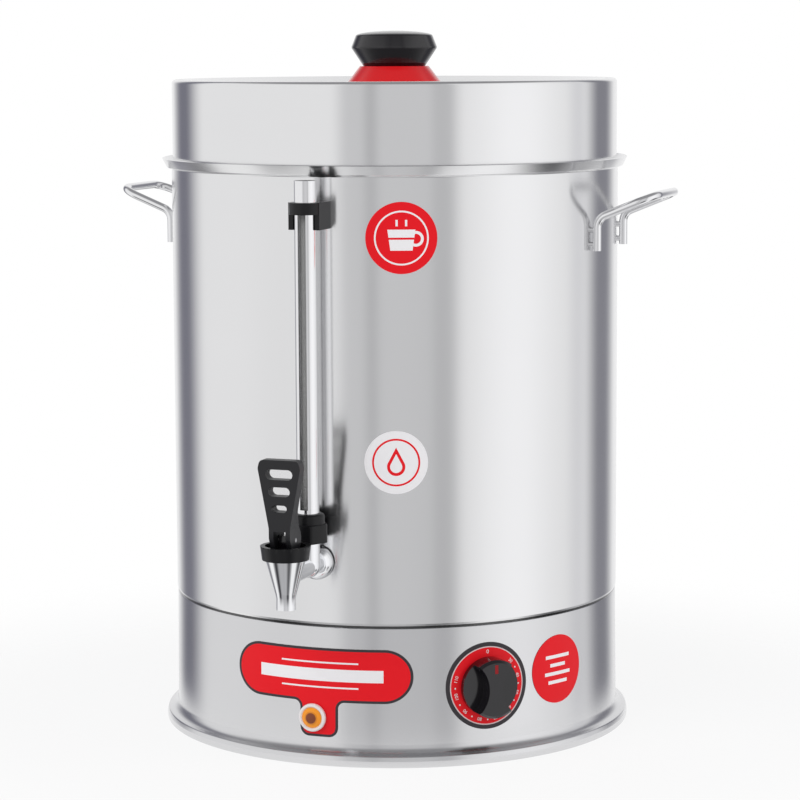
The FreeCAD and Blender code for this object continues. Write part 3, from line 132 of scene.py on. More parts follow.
class Shader:
    """A material under construction."""

    def __init__(self, name: str, tree: bpy.types.NodeTree | None = None) -> None:
        """Starts an empty node tree.

        Args:
            name: The material's name.
            tree: A tree to use in place of a new material's, such as the world's.
        """
        self.material: bpy.types.Material | None = None
        if tree is None:
            self.material = bpy.data.materials.new(name)
            self.material.use_nodes = True
            tree = self.material.node_tree
        tree.nodes.clear()
        self.tree = tree

    def node(self, kind: str, settings: dict[str, Any] | None = None,
             inputs: dict[Any, Any] | None = None) -> bpy.types.Node:
        """Adds one node.

        Args:
            kind: The node's type name.
            settings: Properties to set first; "stops" fills a colour ramp with (place, colour) pairs.
            inputs: Values or sockets for its inputs, by name or number.

        Returns:
            The node.
        """
        made = self.tree.nodes.new(kind)
        for name, value in (settings or {}).items():
            if name == "stops":
                ramp = made.color_ramp
                while len(ramp.elements) < len(value):
                    ramp.elements.new(0.5)
                for element, (place, colour) in zip(ramp.elements, sorted(value)):
                    element.position = place
                    element.color = (*colour, 1.0)
            else:
                setattr(made, name, value)
        for name, value in (inputs or {}).items():
            socket = made.inputs[name]
            if isinstance(value, Socket):
                self.tree.links.new(value.out, socket)
            elif isinstance(value, bpy.types.NodeSocket):
                self.tree.links.new(value, socket)
            else:
                socket.default_value = value
        return made

    def maths(self, operation: str, *values: Any) -> Socket:
        """One Math node on values or sockets."""
        made = self.node("ShaderNodeMath", {"operation": operation}, dict(enumerate(values)))
        return Socket(self, made.outputs[0])

    def place(self) -> tuple[Socket, Socket, Socket]:
        """The point's X, Y and Z in the row frame, in metres."""
        coords = self.node("ShaderNodeTexCoord")
        split = self.node("ShaderNodeSeparateXYZ", None, {0: coords.outputs["Object"]})
        return tuple(Socket(self, split.outputs[axis]) for axis in range(3))

    def attribute(self, name: str) -> Socket:
        """A number that the mesh carries at each point."""
        made = self.node("ShaderNodeAttribute", {"attribute_name": name})
        return Socket(self, made.outputs["Fac"])

    def joined(self, x: Any, y: Any, z: Any) -> Socket:
        """Three numbers as one vector."""
        made = self.node("ShaderNodeCombineXYZ", None, {0: x, 1: y, 2: z})
        return Socket(self, made.outputs[0])

    def noise(self, vector: Socket, scale: float, detail: float = 2.0) -> Socket:
        """Noise from 0 to 1 at a vector."""
        made = self.node("ShaderNodeTexNoise", None, {"Vector": vector, "Scale": scale, "Detail": detail})
        return Socket(self, made.outputs[0])

    def mixed(self, share: Any, first: Any, second: Any) -> Socket:
        """A colour between two others."""
        made = self.node("ShaderNodeMix", {"data_type": "RGBA"})
        for slot, value in ((0, share), (6, first), (7, second)):
            if isinstance(value, Socket):
                self.tree.links.new(value.out, made.inputs[slot])
            elif slot:
                made.inputs[slot].default_value = (*value, 1.0)
            else:
                made.inputs[slot].default_value = value
        return Socket(self, made.outputs[2])

    def share(self, value: Any, low: Any, high: Any, end: float = 1.0, start: float = 0.0) -> Socket:
        """A number that goes smoothly from start to end as a value goes from low to high."""
        made = self.node("ShaderNodeMapRange", {"interpolation_type": "SMOOTHSTEP"},
                         {"Value": value, "From Min": low, "From Max": high, "To Min": start, "To Max": end})
        return Socket(self, made.outputs[0])

    def rays(self, *kinds: str) -> Socket:
        """1 for light paths of any of these kinds, and 0 for others."""
        path = self.node("ShaderNodeLightPath")
        return reduce(Socket.most, [Socket(self, path.outputs[f"Is {kind} Ray"]) for kind in kinds])

    def blend(self, share: Socket, first: bpy.types.Node, second: bpy.types.Node) -> bpy.types.Node:
        """One shader that goes over into another."""
        return self.node("ShaderNodeMixShader", None, {0: share, 1: first.outputs[0], 2: second.outputs[0]})

    def surface(self, **values: Any) -> bpy.types.Material:
        """Ends the material in one Principled shader.

        Args:
            **values: The shader's inputs, with underscores for spaces.

        Returns:
            The finished material.
        """
        inputs = {}
        for name, value in values.items():
            if isinstance(value, tuple) and len(value) == 3:
                value = (*value, 1.0)
            inputs[name.replace("_", " ")] = value
        shader = self.node("ShaderNodeBsdfPrincipled", None, inputs)
        self.node("ShaderNodeOutputMaterial", None, {"Surface": shader.outputs[0]})
        return self.material


# Finishes


@dataclass(frozen=True)
class Finish:
    """An even finish: its colour, how metallic and how rough it is, its clear coat and its plain shine."""

    name: str
    colour: tuple[float, float, float]
    metallic: float = 0.0
    roughness: float = 0.5
    coat: float = 0.0
    grain: float = 0.0
    shine: float = 0.5

    def material(self) -> bpy.types.Material:
        """Builds the finish, with a faint uneven gloss where grain is set."""
        shader = Shader(self.name)
        rough: Any = self.roughness
        if self.grain:
            x, y, z = shader.place()
            rough = self.roughness + (shader.noise(shader.joined(x, y, z), 220.0) - 0.5) * self.grain
        return shader.surface(Base_Color=self.colour, Metallic=self.metallic, Roughness=rough,
                              Coat_Weight=self.coat, Coat_Roughness=0.12, Specular_IOR_Level=self.shine)


@dataclass(frozen=True)
class BrushedSteel:
    """Sheet steel brushed round the tank: fine level lines, highlights drawn out up and down, and, where set,
    painted shade at the seam with the base.
    """

    name: str
    colour: tuple[float, float, float] = (0.83, 0.83, 0.835)
    roughness: float = 0.18
    line_pitch: float = 0.0006
    dark_below: float = 0.0

    def material(self) -> bpy.types.Material:
        """Builds the steel. The lines are noise squeezed in height and drawn out along the turn."""
        shader = Shader(self.name)
        x, y, z = shader.place()
        fine = shader.noise(shader.joined(x * 9.0, y * 9.0, z / self.line_pitch), 1.0, 3.0)
        cloud = shader.noise(shader.joined(x, y, z * 2.5), 14.0, 3.0)
        tone = 0.985 + (fine - 0.5) * 0.02 + (cloud - 0.5) * 0.02
        # Painted shade: below this height, at the seam where the tank meets the base, the steel's colour is
        # darkened nearly to black.
        if self.dark_below:
            tone = tone * (1 - (z < self.dark_below) * 0.86)
        colour = shader.mixed(tone, (0.0, 0.0, 0.0), self.colour)
        rough = self.roughness + (fine - 0.5) * 0.02 + (cloud - 0.5) * 0.03
        return shader.surface(Base_Color=colour, Metallic=1.0, Roughness=rough, Anisotropic=0.75,
                              Anisotropic_Rotation=0.25)


@dataclass(frozen=True)
class ClearTube:
    """The gauge's clear tube."""

    name: str = "gauge_clear_tube"

    def material(self) -> bpy.types.Material:
        """Builds a thin clear wall."""
        shader = Shader(self.name)
        return shader.surface(Base_Color=(0.95, 0.95, 0.94), Roughness=0.05, IOR=1.45, Alpha=0.16)


@dataclass(frozen=True)
class AmberLens:
    """The pilot lamp's lens, with a painted darker middle that stands in for the shaded inside of the lamp
    showing through, and a faint painted glow.
    """

    name: str = "amber_lens"
    edge: tuple[float, float, float] = (0.86, 0.3, 0.015)
    middle: tuple[float, float, float] = (0.2, 0.05, 0.018)

    def material(self) -> bpy.types.Material:
        """Builds the lens. Its colour follows the distance from the lamp's centre."""
        shader = Shader(self.name)
        out = shader.attribute("from_centre")
        # Painted shade: the middle and a ring round it are darkened for the lamp's shaded inside.
        inner = out < 0.52
        ring = (out > 0.52) * (out < 0.66)
        colour = shader.mixed(inner, self.edge, self.middle)
        colour = shader.mixed(ring * 0.55, colour, (0.5, 0.14, 0.01))
        # Painted glow: the lens gives off a little light in its own colour.
        return shader.surface(Base_Color=colour, Roughness=0.2, Specular_IOR_Level=0.35,
                              Emission_Color=colour, Emission_Strength=0.12)


@dataclass(frozen=True)
class Print:
    """A printed foil. Its drawing is worked out from the foil's own u and v, in millimetres."""

    name: str
    layer: Layer
    ground: tuple[float, float, float] = (0.86, 0.006, 0.014)
    ink: tuple[float, float, float] = (0.93, 0.92, 0.93)
    border: tuple[float, float, float] = (0.045, 0.04, 0.045)

    def material(self) -> bpy.types.Material:
        """Builds the print for its layer."""
        shader = Shader(self.name)
        u, v, edge = (shader.attribute(name) for name in ("foil_u", "foil_v", "foil_edge"))
        distance = (u * u + v * v).power(0.5)
        draw: dict[Layer, Callable[..., Socket]] = {
            Layer.RED_BADGE: self._red_badge, Layer.WHITE_BADGE: self._white_badge,
            Layer.SETTING: self._plain, Layer.DIAL: self._dial, Layer.LABEL: self._label}
        colour = draw[self.layer](shader, u, v, edge, distance)
        return shader.surface(Base_Color=colour, Roughness=0.42, Specular_IOR_Level=0.22)

    def _drop(self, u: Socket, v: Socket, radius: float) -> Socket:
        """A water drop: a disc below, and sides that run straight to a point above."""
        disc = (u * u + v * v).power(0.5) < radius
        taper = (abs(u) < (radius * 2.15 - v) * 0.52) * (v > radius * 0.35)
        return disc.most(taper)

    def _red_badge(self, shader: Shader, u: Socket, v: Socket, edge: Socket, distance: Socket) -> Socket:
        """A white ring and a white cup with a level line, on red."""
        ring = (distance < 19.6) * (distance > 18.4)
        cup = (abs(u) < 9.2 + v * 0.14) * (v > -9.0) * (v < 6.0)
        band = (v > -1.2) * (v < 0.3)
        handle = ((u - 10.4) * (u - 10.4) + (v + 0.6) * (v + 0.6)).power(0.5)
        grip = (handle < 5.6) * (handle > 3.6) * (u > 8.0)
        steam = (abs(abs(u) - 3.4) < 0.8) * (v > 8.4) * (v < 13.0)
        white = ring.most(cup * (1 - band)).most(grip).most(steam)
        return shader.mixed(white, self.ground, self.ink)

    def _white_badge(self, shader: Shader, u: Socket, v: Socket, edge: Socket, distance: Socket) -> Socket:
        """A red water drop in a thin red ring, on white."""
        ring = (distance < 17.4) * (distance > 16.0)
        drop = self._drop(u, v + 3.2, 6.6)
        heart = self._drop(u, v + 3.2, 4.4)
        return shader.mixed(ring.most(drop * (1 - heart)), self.ink, self.ground)

    def _plain(self, shader: Shader, u: Socket, v: Socket, *_: Socket) -> Socket:
        """Red with four plain white bars of different lengths."""
        bars: Any = 0.0
        for height, half in ((9.6, 12.5), (3.2, 8.0), (-3.2, 13.5), (-9.6, 10.0)):
            bars = shader.maths("MAXIMUM", bars, (abs(v - height) < 1.3) * (abs(u) < half))
        return shader.mixed(bars, self.ground, self.ink)

    def _dial(self, shader: Shader, u: Socket, v: Socket, edge: Socket, distance: Socket) -> Socket:
        """A black rim, a thin pale ring and a red band round the knob."""
        red = shader.mixed(distance < 28.9, self.border, self.ground)
        pale = (distance > 28.5) * (distance < 29.3)
        return shader.mixed(pale, red, (0.75, 0.62, 0.62))

    def _label(self, shader: Shader, u: Socket, v: Socket, edge: Socket, distance: Socket) -> Socket:
        """A dark border round red, with one broad white stripe between two thin ones."""
        broad = (abs(v) < 4.6) * (abs(u) < 48.0)
        thin = (abs(abs(v) - 9.2) < 0.6) * (abs(u) < 30.0)
        inside = shader.mixed(broad.most(thin), self.ground, self.ink)
        return shader.mixed(edge < 1.9, inside, self.border)


# Shapes on a grid


def rounded(corners: Sequence[tuple[float, float]], radii: Sequence[float], steps: int = 8) -> Array:
    """A path through corners with each inner corner replaced by a tangent arc.

    The arc's points are centre plus radius times a direction that turns evenly from one normal to the next.

    Args:
        corners: The path's corners.
        radii: One radius for each inner corner; 0 keeps it sharp.
        steps: Points along each arc.

    Returns:
        The path's points, one row each.
    """
    points = np.array(corners, float)
    made = [points[:1]]
    for place, radius in enumerate(radii, 1):
        here = points[place]
        back = points[place - 1] - here
        ahead = points[place + 1] - here
        back, ahead = back / np.linalg.norm(back), ahead / np.linalg.norm(ahead)
        half = (math.pi - math.acos(float(np.clip(back @ ahead, -1, 1)))) / 2
        if radius <= 0 or half < 1e-4:
            made.append(here[None])
            continue
        middle = (back + ahead) / np.linalg.norm(back + ahead)
        centre = here + middle * radius / math.cos(half)
        first = here + back * radius * math.tan(half) - centre
        last = here + ahead * radius * math.tan(half) - centre
        share = np.linspace(0, 1, steps + 1)[:, None]
        whole = 2 * half
        arc = (np.sin((1 - share) * whole) * first + np.sin(share * whole) * last) / math.sin(whole)
        made.append(centre + arc)
    made.append(points[-1:])
    return np.vstack(made)


def sheet_loop(corners: Sequence[tuple[float, float]], radii: Sequence[float], thickness: float) -> Array:
    """A sheet's closed outline: the outside path, and the same path moved to its left by the thickness.

    Each point moves along the mean of its two runs' left normals, divided by the cosine of half the turn.
    """
    path = rounded(corners, radii)
    run = np.diff(path, axis=0)
    run /= np.linalg.norm(run, axis=1)[:, None]
    normal = np.column_stack([-run[:, 1], run[:, 0]])
    before, after = np.vstack([normal[:1], normal]), np.vstack([normal, normal[-1:]])
    shift = (before + after) / (1 + (before * after).sum(1))[:, None] * thickness
    return np.vstack([path, (path + shift)[::-1]])


def build_mesh(name: str, points: Array, faces: Array | list, numbers: dict[str, Array] | None = None,
               sharp_angle: float = 35.0) -> bpy.types.Object:
    """Makes an object from points in millimetres and faces of point numbers.

    Args:
        name: The object's name.
        points: One row of x, y and z for each point, in millimetres.
        faces: Point numbers of each face.
        numbers: Values that the mesh carries at each point, by name.
        sharp_angle: Edges that turn more than this are shown sharp, in degrees.

    Returns:
        The object, linked to the scene, at the origin.
    """
    mesh = bpy.data.meshes.new(name)
    mesh.from_pydata((np.asarray(points, float) * MM).tolist(), [], np.asarray(faces).tolist()
                     if isinstance(faces, np.ndarray) else faces)
    mesh.validate()
    for key, values in (numbers or {}).items():
        mesh.attributes.new(key, "FLOAT", "POINT").data.foreach_set("value", np.asarray(values, np.float32))
    mesh.polygons.foreach_set("use_smooth", np.ones(len(mesh.polygons), bool))
    mesh.set_sharp_from_angle(angle=math.radians(sharp_angle))
    made = bpy.data.objects.new(name, mesh)
    bpy.context.scene.collection.objects.link(made)
    return made


def grid_faces(rows: int, columns: int, close_rows: bool, close_columns: bool) -> Array:
    """The four-sided faces of a grid of points, with either way closed on itself."""
    row = np.arange(rows if close_rows else rows - 1)
    column = np.arange(columns if close_columns else columns - 1)
    row, column = (each.ravel() for each in np.meshgrid(row, column, indexing="ij"))
    below, right = (row + 1) % rows, (column + 1) % columns
    return np.column_stack([row * columns + column, row * columns + right,
                            below * columns + right, below * columns + column])


def spin(outline: Array, steps: int) -> tuple[Array, list]:
    """A closed outline of radius and height turned once about Z.

    A point at angle t is (radius sin t, -radius cos t, height). Points on the axis are made one.

    Args:
        outline: Rows of radius and height, anticlockwise with the radius to the right.
        steps: How many steps make the full turn.

    Returns:
        Points and faces.
    """
    angle = np.arange(steps) / steps * 2 * math.pi
    radius, height = outline[:, :1], outline[:, 1:2]
    points = np.stack([radius * np.sin(angle), -radius * np.cos(angle), height + 0 * angle], 2).reshape(-1, 3)
    faces = grid_faces(len(outline), steps, True, True)
    pole = np.arange(len(points))
    for row in np.nonzero(outline[:, 0] < 1e-6)[0]:
        pole[row * steps:(row + 1) * steps] = row * steps
    used, number = np.unique(pole, return_inverse=True)
    merged = number[faces]
    made = []
    for face in merged.tolist():
        corners = [c for place, c in enumerate(face) if c != face[place - 1]]
        if len(set(corners)) > 2:
            made.append(corners)
    return points[used], made


def tube(path: Array, radius: float, steps: int) -> tuple[Array, Array | list]:
    """A round rod along a path, closed at both ends.

    A frame is carried along the path: each next side is the last one less its part along the new heading.
    A ring's point is the path's point plus radius times (side cos t + second side sin t).
    """
    heading = np.gradient(path, axis=0)
    heading /= np.linalg.norm(heading, axis=1)[:, None]
    side = np.cross(heading[0], [0.3, 0.9, 0.2])
    sides = []
    for ahead in heading:
        side = side - ahead * (side @ ahead)
        side = side / np.linalg.norm(side)
        sides.append(side)
    sides = np.array(sides)
    second = np.cross(heading, sides)
    angle = np.arange(steps) / steps * 2 * math.pi
    points = (path[:, None] + radius * (sides[:, None] * np.cos(angle)[None, :, None]
                                        + second[:, None] * np.sin(angle)[None, :, None])).reshape(-1, 3)
    faces = grid_faces(len(path), steps, False, True).tolist()
    faces.append(list(range(steps))[::-1])
    faces.append(list(range(len(points) - steps, len(points))))
    return points, faces


def spoke_matrix(azimuth: float, height: float) -> Matrix:
    """Takes a shape made about Z to one that points outward at an azimuth and height."""
    return (Matrix.Rotation(math.radians(azimuth), 4, "Z") @ Matrix.Translation((0, 0, height * MM))
            @ Matrix.Rotation(math.radians(90), 4, "X"))


def place(made: bpy.types.Object, matrix: Matrix) -> bpy.types.Object:
    """Puts a matrix into the object's mesh, and leaves the object at the origin."""
    made.data.transform(matrix)
    if matrix.to_3x3().determinant() < 0:
        made.data.flip_normals()
    return made


# Sub-assemblies


@dataclass
class Dresser:
    """Puts the finishes on pieces, and stands new pieces in for CAD nodes."""

    frame: dict[str, Any]
    finishes: dict[str, bpy.types.Material] = field(default_factory=dict)

    def finish(self, kind: Any) -> bpy.types.Material:
        """The material of a finish, built once."""
        if kind.name not in self.finishes:
            self.finishes[kind.name] = kind.material()
        return self.finishes[kind.name]

    def dress(self, made: bpy.types.Object, kind: Any, body: str, slot: str,
              *stands_for: str) -> bpy.types.Object:
        """Gives a new piece its finish and body, and hides the nodes that it stands for."""
        made.data.materials.clear()
        made.data.materials.append(self.finish(kind))
        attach(made, body)
        if stands_for:
            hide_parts(*stands_for)
        LOG.info("piece %s: %d faces", made.name, len(made.data.polygons))
        return made

    def coat(self, node: str, kind: Any) -> bpy.types.Object:
        """Puts a finish on a CAD node as it is."""
        shown = self.frame["nodes"][node]
        shown.data.materials.clear()
        shown.data.materials.append(self.finish(kind))
        return shown

    def soften(self, node: str, kind: Any, width: float = 0.35, angle: float = 28.0) -> bpy.types.Object:
        """Puts a finish on a copy of a CAD node with merged points and small rounded edges.

        Args:
            node: The CAD node.
            kind: The finish.
            width: Edge radius in millimetres.
            angle: Edges that turn more than this are rounded, in degrees.

        Returns:
            The copy, which stands for the node.
        """
        source = self.frame["nodes"][node]
        count = len(source.data.vertices)
        points = np.zeros(count * 3, np.float32)
        source.data.vertices.foreach_get("co", points)
        points = points.reshape(-1, 3)
        loops = np.zeros(len(source.data.loops), np.int32)
        source.data.loops.foreach_get("vertex_index", loops)
        key = np.round(points / 2e-6).astype(np.int64)
        _, first, number = np.unique(key, axis=0, return_index=True, return_inverse=True)
        faces = number.reshape(-1)[loops].reshape(-1, 3)
        faces = faces[(faces != np.roll(faces, 1, axis=1)).all(1)]
        made = build_mesh(node + "_shown", points[first] / MM, faces, sharp_angle=angle)
        slots = {row["node"]: row["material_slot"] for row in self.frame["record"]["subparts"]}
        if width:
            bevel = made.modifiers.new("edges", "BEVEL")
            bevel.width, bevel.segments, bevel.limit_method = width * MM, 2, "ANGLE"
            bevel.angle_limit = math.radians(angle)
            bevel.use_clamp_overlap = True
            bevel.harden_normals = True
        return self.dress(made, kind, source["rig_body"], slots[node], node)


# The tank's steel carries painted shade below 103.6 mm, at its seam with the base.
STEEL = BrushedSteel("tank_brushed_steel", dark_below=0.1036)
LID_STEEL = BrushedSteel("lid_brushed_steel", roughness=0.14)
BASE_STEEL = BrushedSteel("base_brushed_steel", (0.72, 0.72, 0.73), 0.22)
PLAIN_STEEL = Finish("rolled_steel", (0.62, 0.62, 0.63), 1.0, 0.35)
BRIGHT_STEEL = Finish("polished_steel", (0.86, 0.86, 0.87), 1.0, 0.09)
CHROME = Finish("tap_chrome_plate", (0.88, 0.885, 0.9), 1.0, 0.06)
ZINC = Finish("zinc_plate", (0.6, 0.6, 0.61), 1.0, 0.3)
LEVER_BLACK = Finish("lever_black_plastic", (0.012, 0.012, 0.014), 0.0, 0.38, 0.0, 0.08, 0.4)
NUT_BLACK = Finish("nut_black_plastic", (0.006, 0.006, 0.007), 0.0, 0.3, 0.0, 0.0, 0.3)
KNOB_BLACK = Finish("knob_black_plastic", (0.006, 0.005, 0.007), 0.0, 0.14, 0.3, 0.0, 0.45)
KNOB_RED = Finish("knob_red_plastic", (0.72, 0.008, 0.012), 0.0, 0.16, 0.3, 0.0, 0.45)
POINTER_RED = Finish("pointer_red_ink", (0.3, 0.012, 0.016), 0.0, 0.5, 0.0, 0.0, 0.2)
RUBBER = Finish("silicone_rubber", (0.05, 0.05, 0.05), 0.0, 0.7)
INSULATOR = Finish("insulator_plastic", (0.72, 0.7, 0.64), 0.0, 0.5)
COPPER = Finish("bare_brass", (0.7, 0.5, 0.24), 1.0, 0.3)
SHEATH = Finish("heater_sheath", (0.33, 0.33, 0.34), 1.0, 0.4)
LEAD = Finish("lead_cover", (0.28, 0.06, 0.05), 0.0, 0.6)
WHITE_INK = Finish("white_ink", (0.9, 0.89, 0.9), 0.0, 0.4)
BEZEL_WHITE = Finish("bezel_white_plastic", (0.86, 0.83, 0.82), 0.1, 0.2, 0.5)


COATED = (
    (PLAIN_STEEL, "tank_floor lid_inner_ring bottom_cover base_flange sensor_clip"),
    (SHEATH, "heating_element"),
    (RUBBER, "element_seals valve_plug tap_seals gauge_seal gauge_bracket_seal"),
    (COPPER, "element_nuts thermostat_sensor earth_stud"),
    (ZINC, "lid_knob_screw lid_knob_washer thermostat_shaft tie_rods tie_rod_nuts thermostat_screws "
           "cutout_studs terminal_block_screws lever_pin gauge_bracket_screw"),
    (INSULATOR, "thermostat_body pilot_lamp_body safety_cutout terminal_block"),
    (NUT_BLACK, "cable_gland gland_nut pilot_lamp_nut gauge_cap"),
    (POINTER_RED, "knob_pointer"),
    (LEAD, "inner_leads"),
    (BRIGHT_STEEL, "valve_spring"),
    (CHROME, "tap_lock_nut"),
)
SOFTENED = (
    ("thermostat_knob", KNOB_BLACK, 0.5, 25), ("tap_body", CHROME, 0.5, 30), ("tap_collar", CHROME, 0.4, 30),
    ("tap_bonnet", NUT_BLACK, 0.25, 30), ("tap_lever", LEVER_BLACK, 0.6, 30),
    ("valve_stem", KNOB_BLACK, 0.3, 30), ("gauge_nut", NUT_BLACK, 0.4, 30),
    ("gauge_bracket", NUT_BLACK, 0.5, 30),
)


@dataclass
class Tank:
    """The tank: wall with its lip, and the two rod handles. Sizes are in millimetres."""

    radius: float = 172.0
    sheet: float = 0.8
    bend: float = 1.4
    seam: float = 102.0
    shelf: float = 430.6
    shelf_width: float = 3.6
    lip_spread: float = 3.5
    lip_height: float = 7.0
    rod: float = 3.1
    rod_gap: float = 1.5
    half_width: float = 37.6
    foot: float = 370.5
    corner: float = 394.5
    reach: float = 43.0
    slope: float = 22.0

    def wall(self) -> bpy.types.Object:
        """The rolled wall: its sheet outline turned about the axis."""
        path = [(self.radius - 0.8, self.seam), (self.radius, self.seam + 3), (self.radius, self.shelf),
                (self.radius + self.shelf_width, self.shelf),
                (self.radius + self.shelf_width + self.lip_spread, self.shelf + self.lip_height)]
        loop = sheet_loop(path, [self.bend] * 3, self.sheet)
        return build_mesh("tank_wall_shown", *spin(loop, Around.TANK.value))

    def handle(self, side: int) -> bpy.types.Object:
        """One bent rod with rounded pads where it is welded: side is 1 for +X, -1 for -X."""
        leg = math.sqrt((self.radius + self.rod_gap + self.rod) ** 2 - self.half_width ** 2)
        rise = self.reach * math.tan(math.radians(self.slope))
        half = self.half_width
        front = np.array([(leg, -half, self.foot), (leg, -half, self.corner),
                          (leg + self.reach, -half, self.corner + rise)])
        corners = np.vstack([front, front[::-1] * (1, -1, 1)])
        path = rounded(corners, [10, 15, 15, 10], 12)
        points, faces = tube(path, self.rod, Around.ROD.value)
        for y in (-half, half):
            for pad in (4.5, 15.5):
                end = np.array((leg, y, self.foot + pad))
                inward = np.array((leg, y, 0)) / math.hypot(leg, y)
                weld = np.array([end - inward * (self.rod + self.rod_gap + 0.2), end])
                more, sides = tube(weld, 2.2, 16)
                faces += [[number + len(points) for number in face] for face in sides]
                points = np.vstack([points, more])
        made = build_mesh("handle_right_shown" if side > 0 else "handle_left_shown", points, faces)
        return made if side > 0 else place(made, Matrix.Rotation(math.pi, 4, "Z"))

    def build(self, dresser: Dresser) -> None:
        """Builds and dresses the tank."""
        dresser.dress(self.wall(), STEEL, "urn", "steel", "tank_wall")
        dresser.dress(self.handle(1), BRIGHT_STEEL, "urn", "bright_steel", "handle_right")
        dresser.dress(self.handle(-1), BRIGHT_STEEL, "urn", "bright_steel", "handle_left")


@dataclass
class Lid:
    """The lid with its two-piece knob. Sizes are in millimetres."""

    radius: float = 171.1
    sheet: float = 0.8
    bottom: float = 431.7
    hem_width: float = 3.2
    hem_height: float = 3.5
    skirt: float = 62.1
    rim: float = 8.1
    slope: float = 13.0
    dish: float = 3.7
    edge: float = 3.0
    bend: float = 1.4
    hem_turn: float = 0.6
    hole: float = 3.1
    cone_foot: float = 35.5
    cone_step: float = 1.6
    cone_top: float = 26.5
    cone_height: float = 13.3
    knob_waist: float = 23.8
    knob_radius: float = 33.1
    knob_flare: float = 14.1
    dome_radius: float = 29.6
    dome_foot: float = 23.0
    dome_rise: float = 3.9

    @property
    def top(self) -> float:
        """The height of the lid's rim."""
        return self.bottom + self.hem_height + self.skirt

    def shell(self) -> bpy.types.Object:
        """The dished lid: its sheet outline turned about the axis."""
        path = [(self.radius + self.hem_width, self.bottom + self.hem_turn),
                (self.radius, self.bottom + self.hem_height), (self.radius, self.top),
                (self.radius - self.rim, self.top),
                (self.radius - self.rim - self.slope, self.top - self.dish), (self.hole, self.top - self.dish)]
        loop = sheet_loop(path, [self.bend, self.edge, self.bend, self.bend], self.sheet)
        return build_mesh("lid_shell_shown", *spin(loop, Around.TANK.value))

    def knob(self) -> bpy.types.Object:
        """The black knob: waist, flare, rounded shoulder and a low dome."""
        low = self.top - self.dish + self.cone_height
        dome = [(self.dome_radius * math.cos(t), low + self.dome_foot + self.dome_rise * math.sin(t))
                for t in np.linspace(0, math.pi / 2, 14)]
        corners = [(0.0, low), (self.knob_waist, low), (self.knob_radius, low + self.knob_flare), *dome[:-1],
                   (0.0, dome[-1][1])]
        path = rounded(corners, [0.8, 2.2, 1.6] + [0] * (len(dome) - 2), 7)
        return build_mesh("lid_knob_shown", *spin(path, Around.KNOB.value))

    def knob_base(self) -> bpy.types.Object:
        """The red cone under the knob, with a short straight foot."""
        low = self.top - self.dish
        high = low + self.cone_height
        corners = [(self.hole, low), (self.cone_foot, low), (self.cone_foot, low + self.cone_step),
                   (self.cone_top, high), (self.hole, high)]
        outline = rounded(corners, [0.4, 0.9, 0.8], 6)
        return build_mesh("lid_knob_base_shown", *spin(outline, Around.KNOB.value))

    def build(self, dresser: Dresser) -> None:
        """Builds and dresses the lid."""
        dresser.dress(self.shell(), LID_STEEL, "lid", "steel", "lid_shell")
        dresser.dress(self.knob(), KNOB_BLACK, "lid", "knob_black", "lid_knob")
        dresser.dress(self.knob_base(), KNOB_RED, "lid", "red_plastic", "lid_knob_base")


@dataclass
class Wall:
    """The base's sloping wall, which the foils follow. Sizes are in millimetres."""

    top_radius: float = 171.5
    draft: float = 1.1
    low: float = 10.6
    high: float = 102.0

    def radius(self, height: Any) -> Any:
        """The wall's radius at a height."""
        return self.top_radius + self.draft * (self.high - height) / (self.high - self.low)


@dataclass
class Foil:
    """A thin printed foil that follows a wall. Sizes are in millimetres."""

    name: str
    azimuth: float
    height: float
    wall: Callable[[Any], Any]
    lift: float = 0.35

    def wrapped(self, u: Array, v: Array, lift: float | None = None) -> Array:
        """Points of a flat drawing set on the wall.

        A point keeps its sideways distance u and height v, and its distance out is the root of the wall's
        radius squared less u squared.
        """
        z = self.height + v
        out = np.sqrt((self.wall(z) + (self.lift if lift is None else lift)) ** 2 - u ** 2)
        angle = math.radians(self.azimuth)
        return np.column_stack([u * math.cos(angle) + out * math.sin(angle),
                                u * math.sin(angle) - out * math.cos(angle), z])

    def disc(self, radius: float, hole: float = 0.0) -> bpy.types.Object:
        """A round foil: rings of points at even radii, with a thin edge that turns to the wall."""
        rings = np.append(np.linspace(hole, radius, 20), radius)
        angle = np.arange(128) / 128 * 2 * math.pi
        u = (rings[:, None] * np.cos(angle)).ravel()
        v = (rings[:, None] * np.sin(angle)).ravel()
        lift = np.repeat(np.append(np.full(20, self.lift), 0.16), 128)
        points = self.wrapped(u, v, lift)
        faces = grid_faces(len(rings), 128, False, True)[:, ::-1]
        numbers = {"foil_u": u, "foil_v": v, "foil_edge": radius - np.hypot(u, v)}
        return build_mesh(self.name, points, faces, numbers, 60)


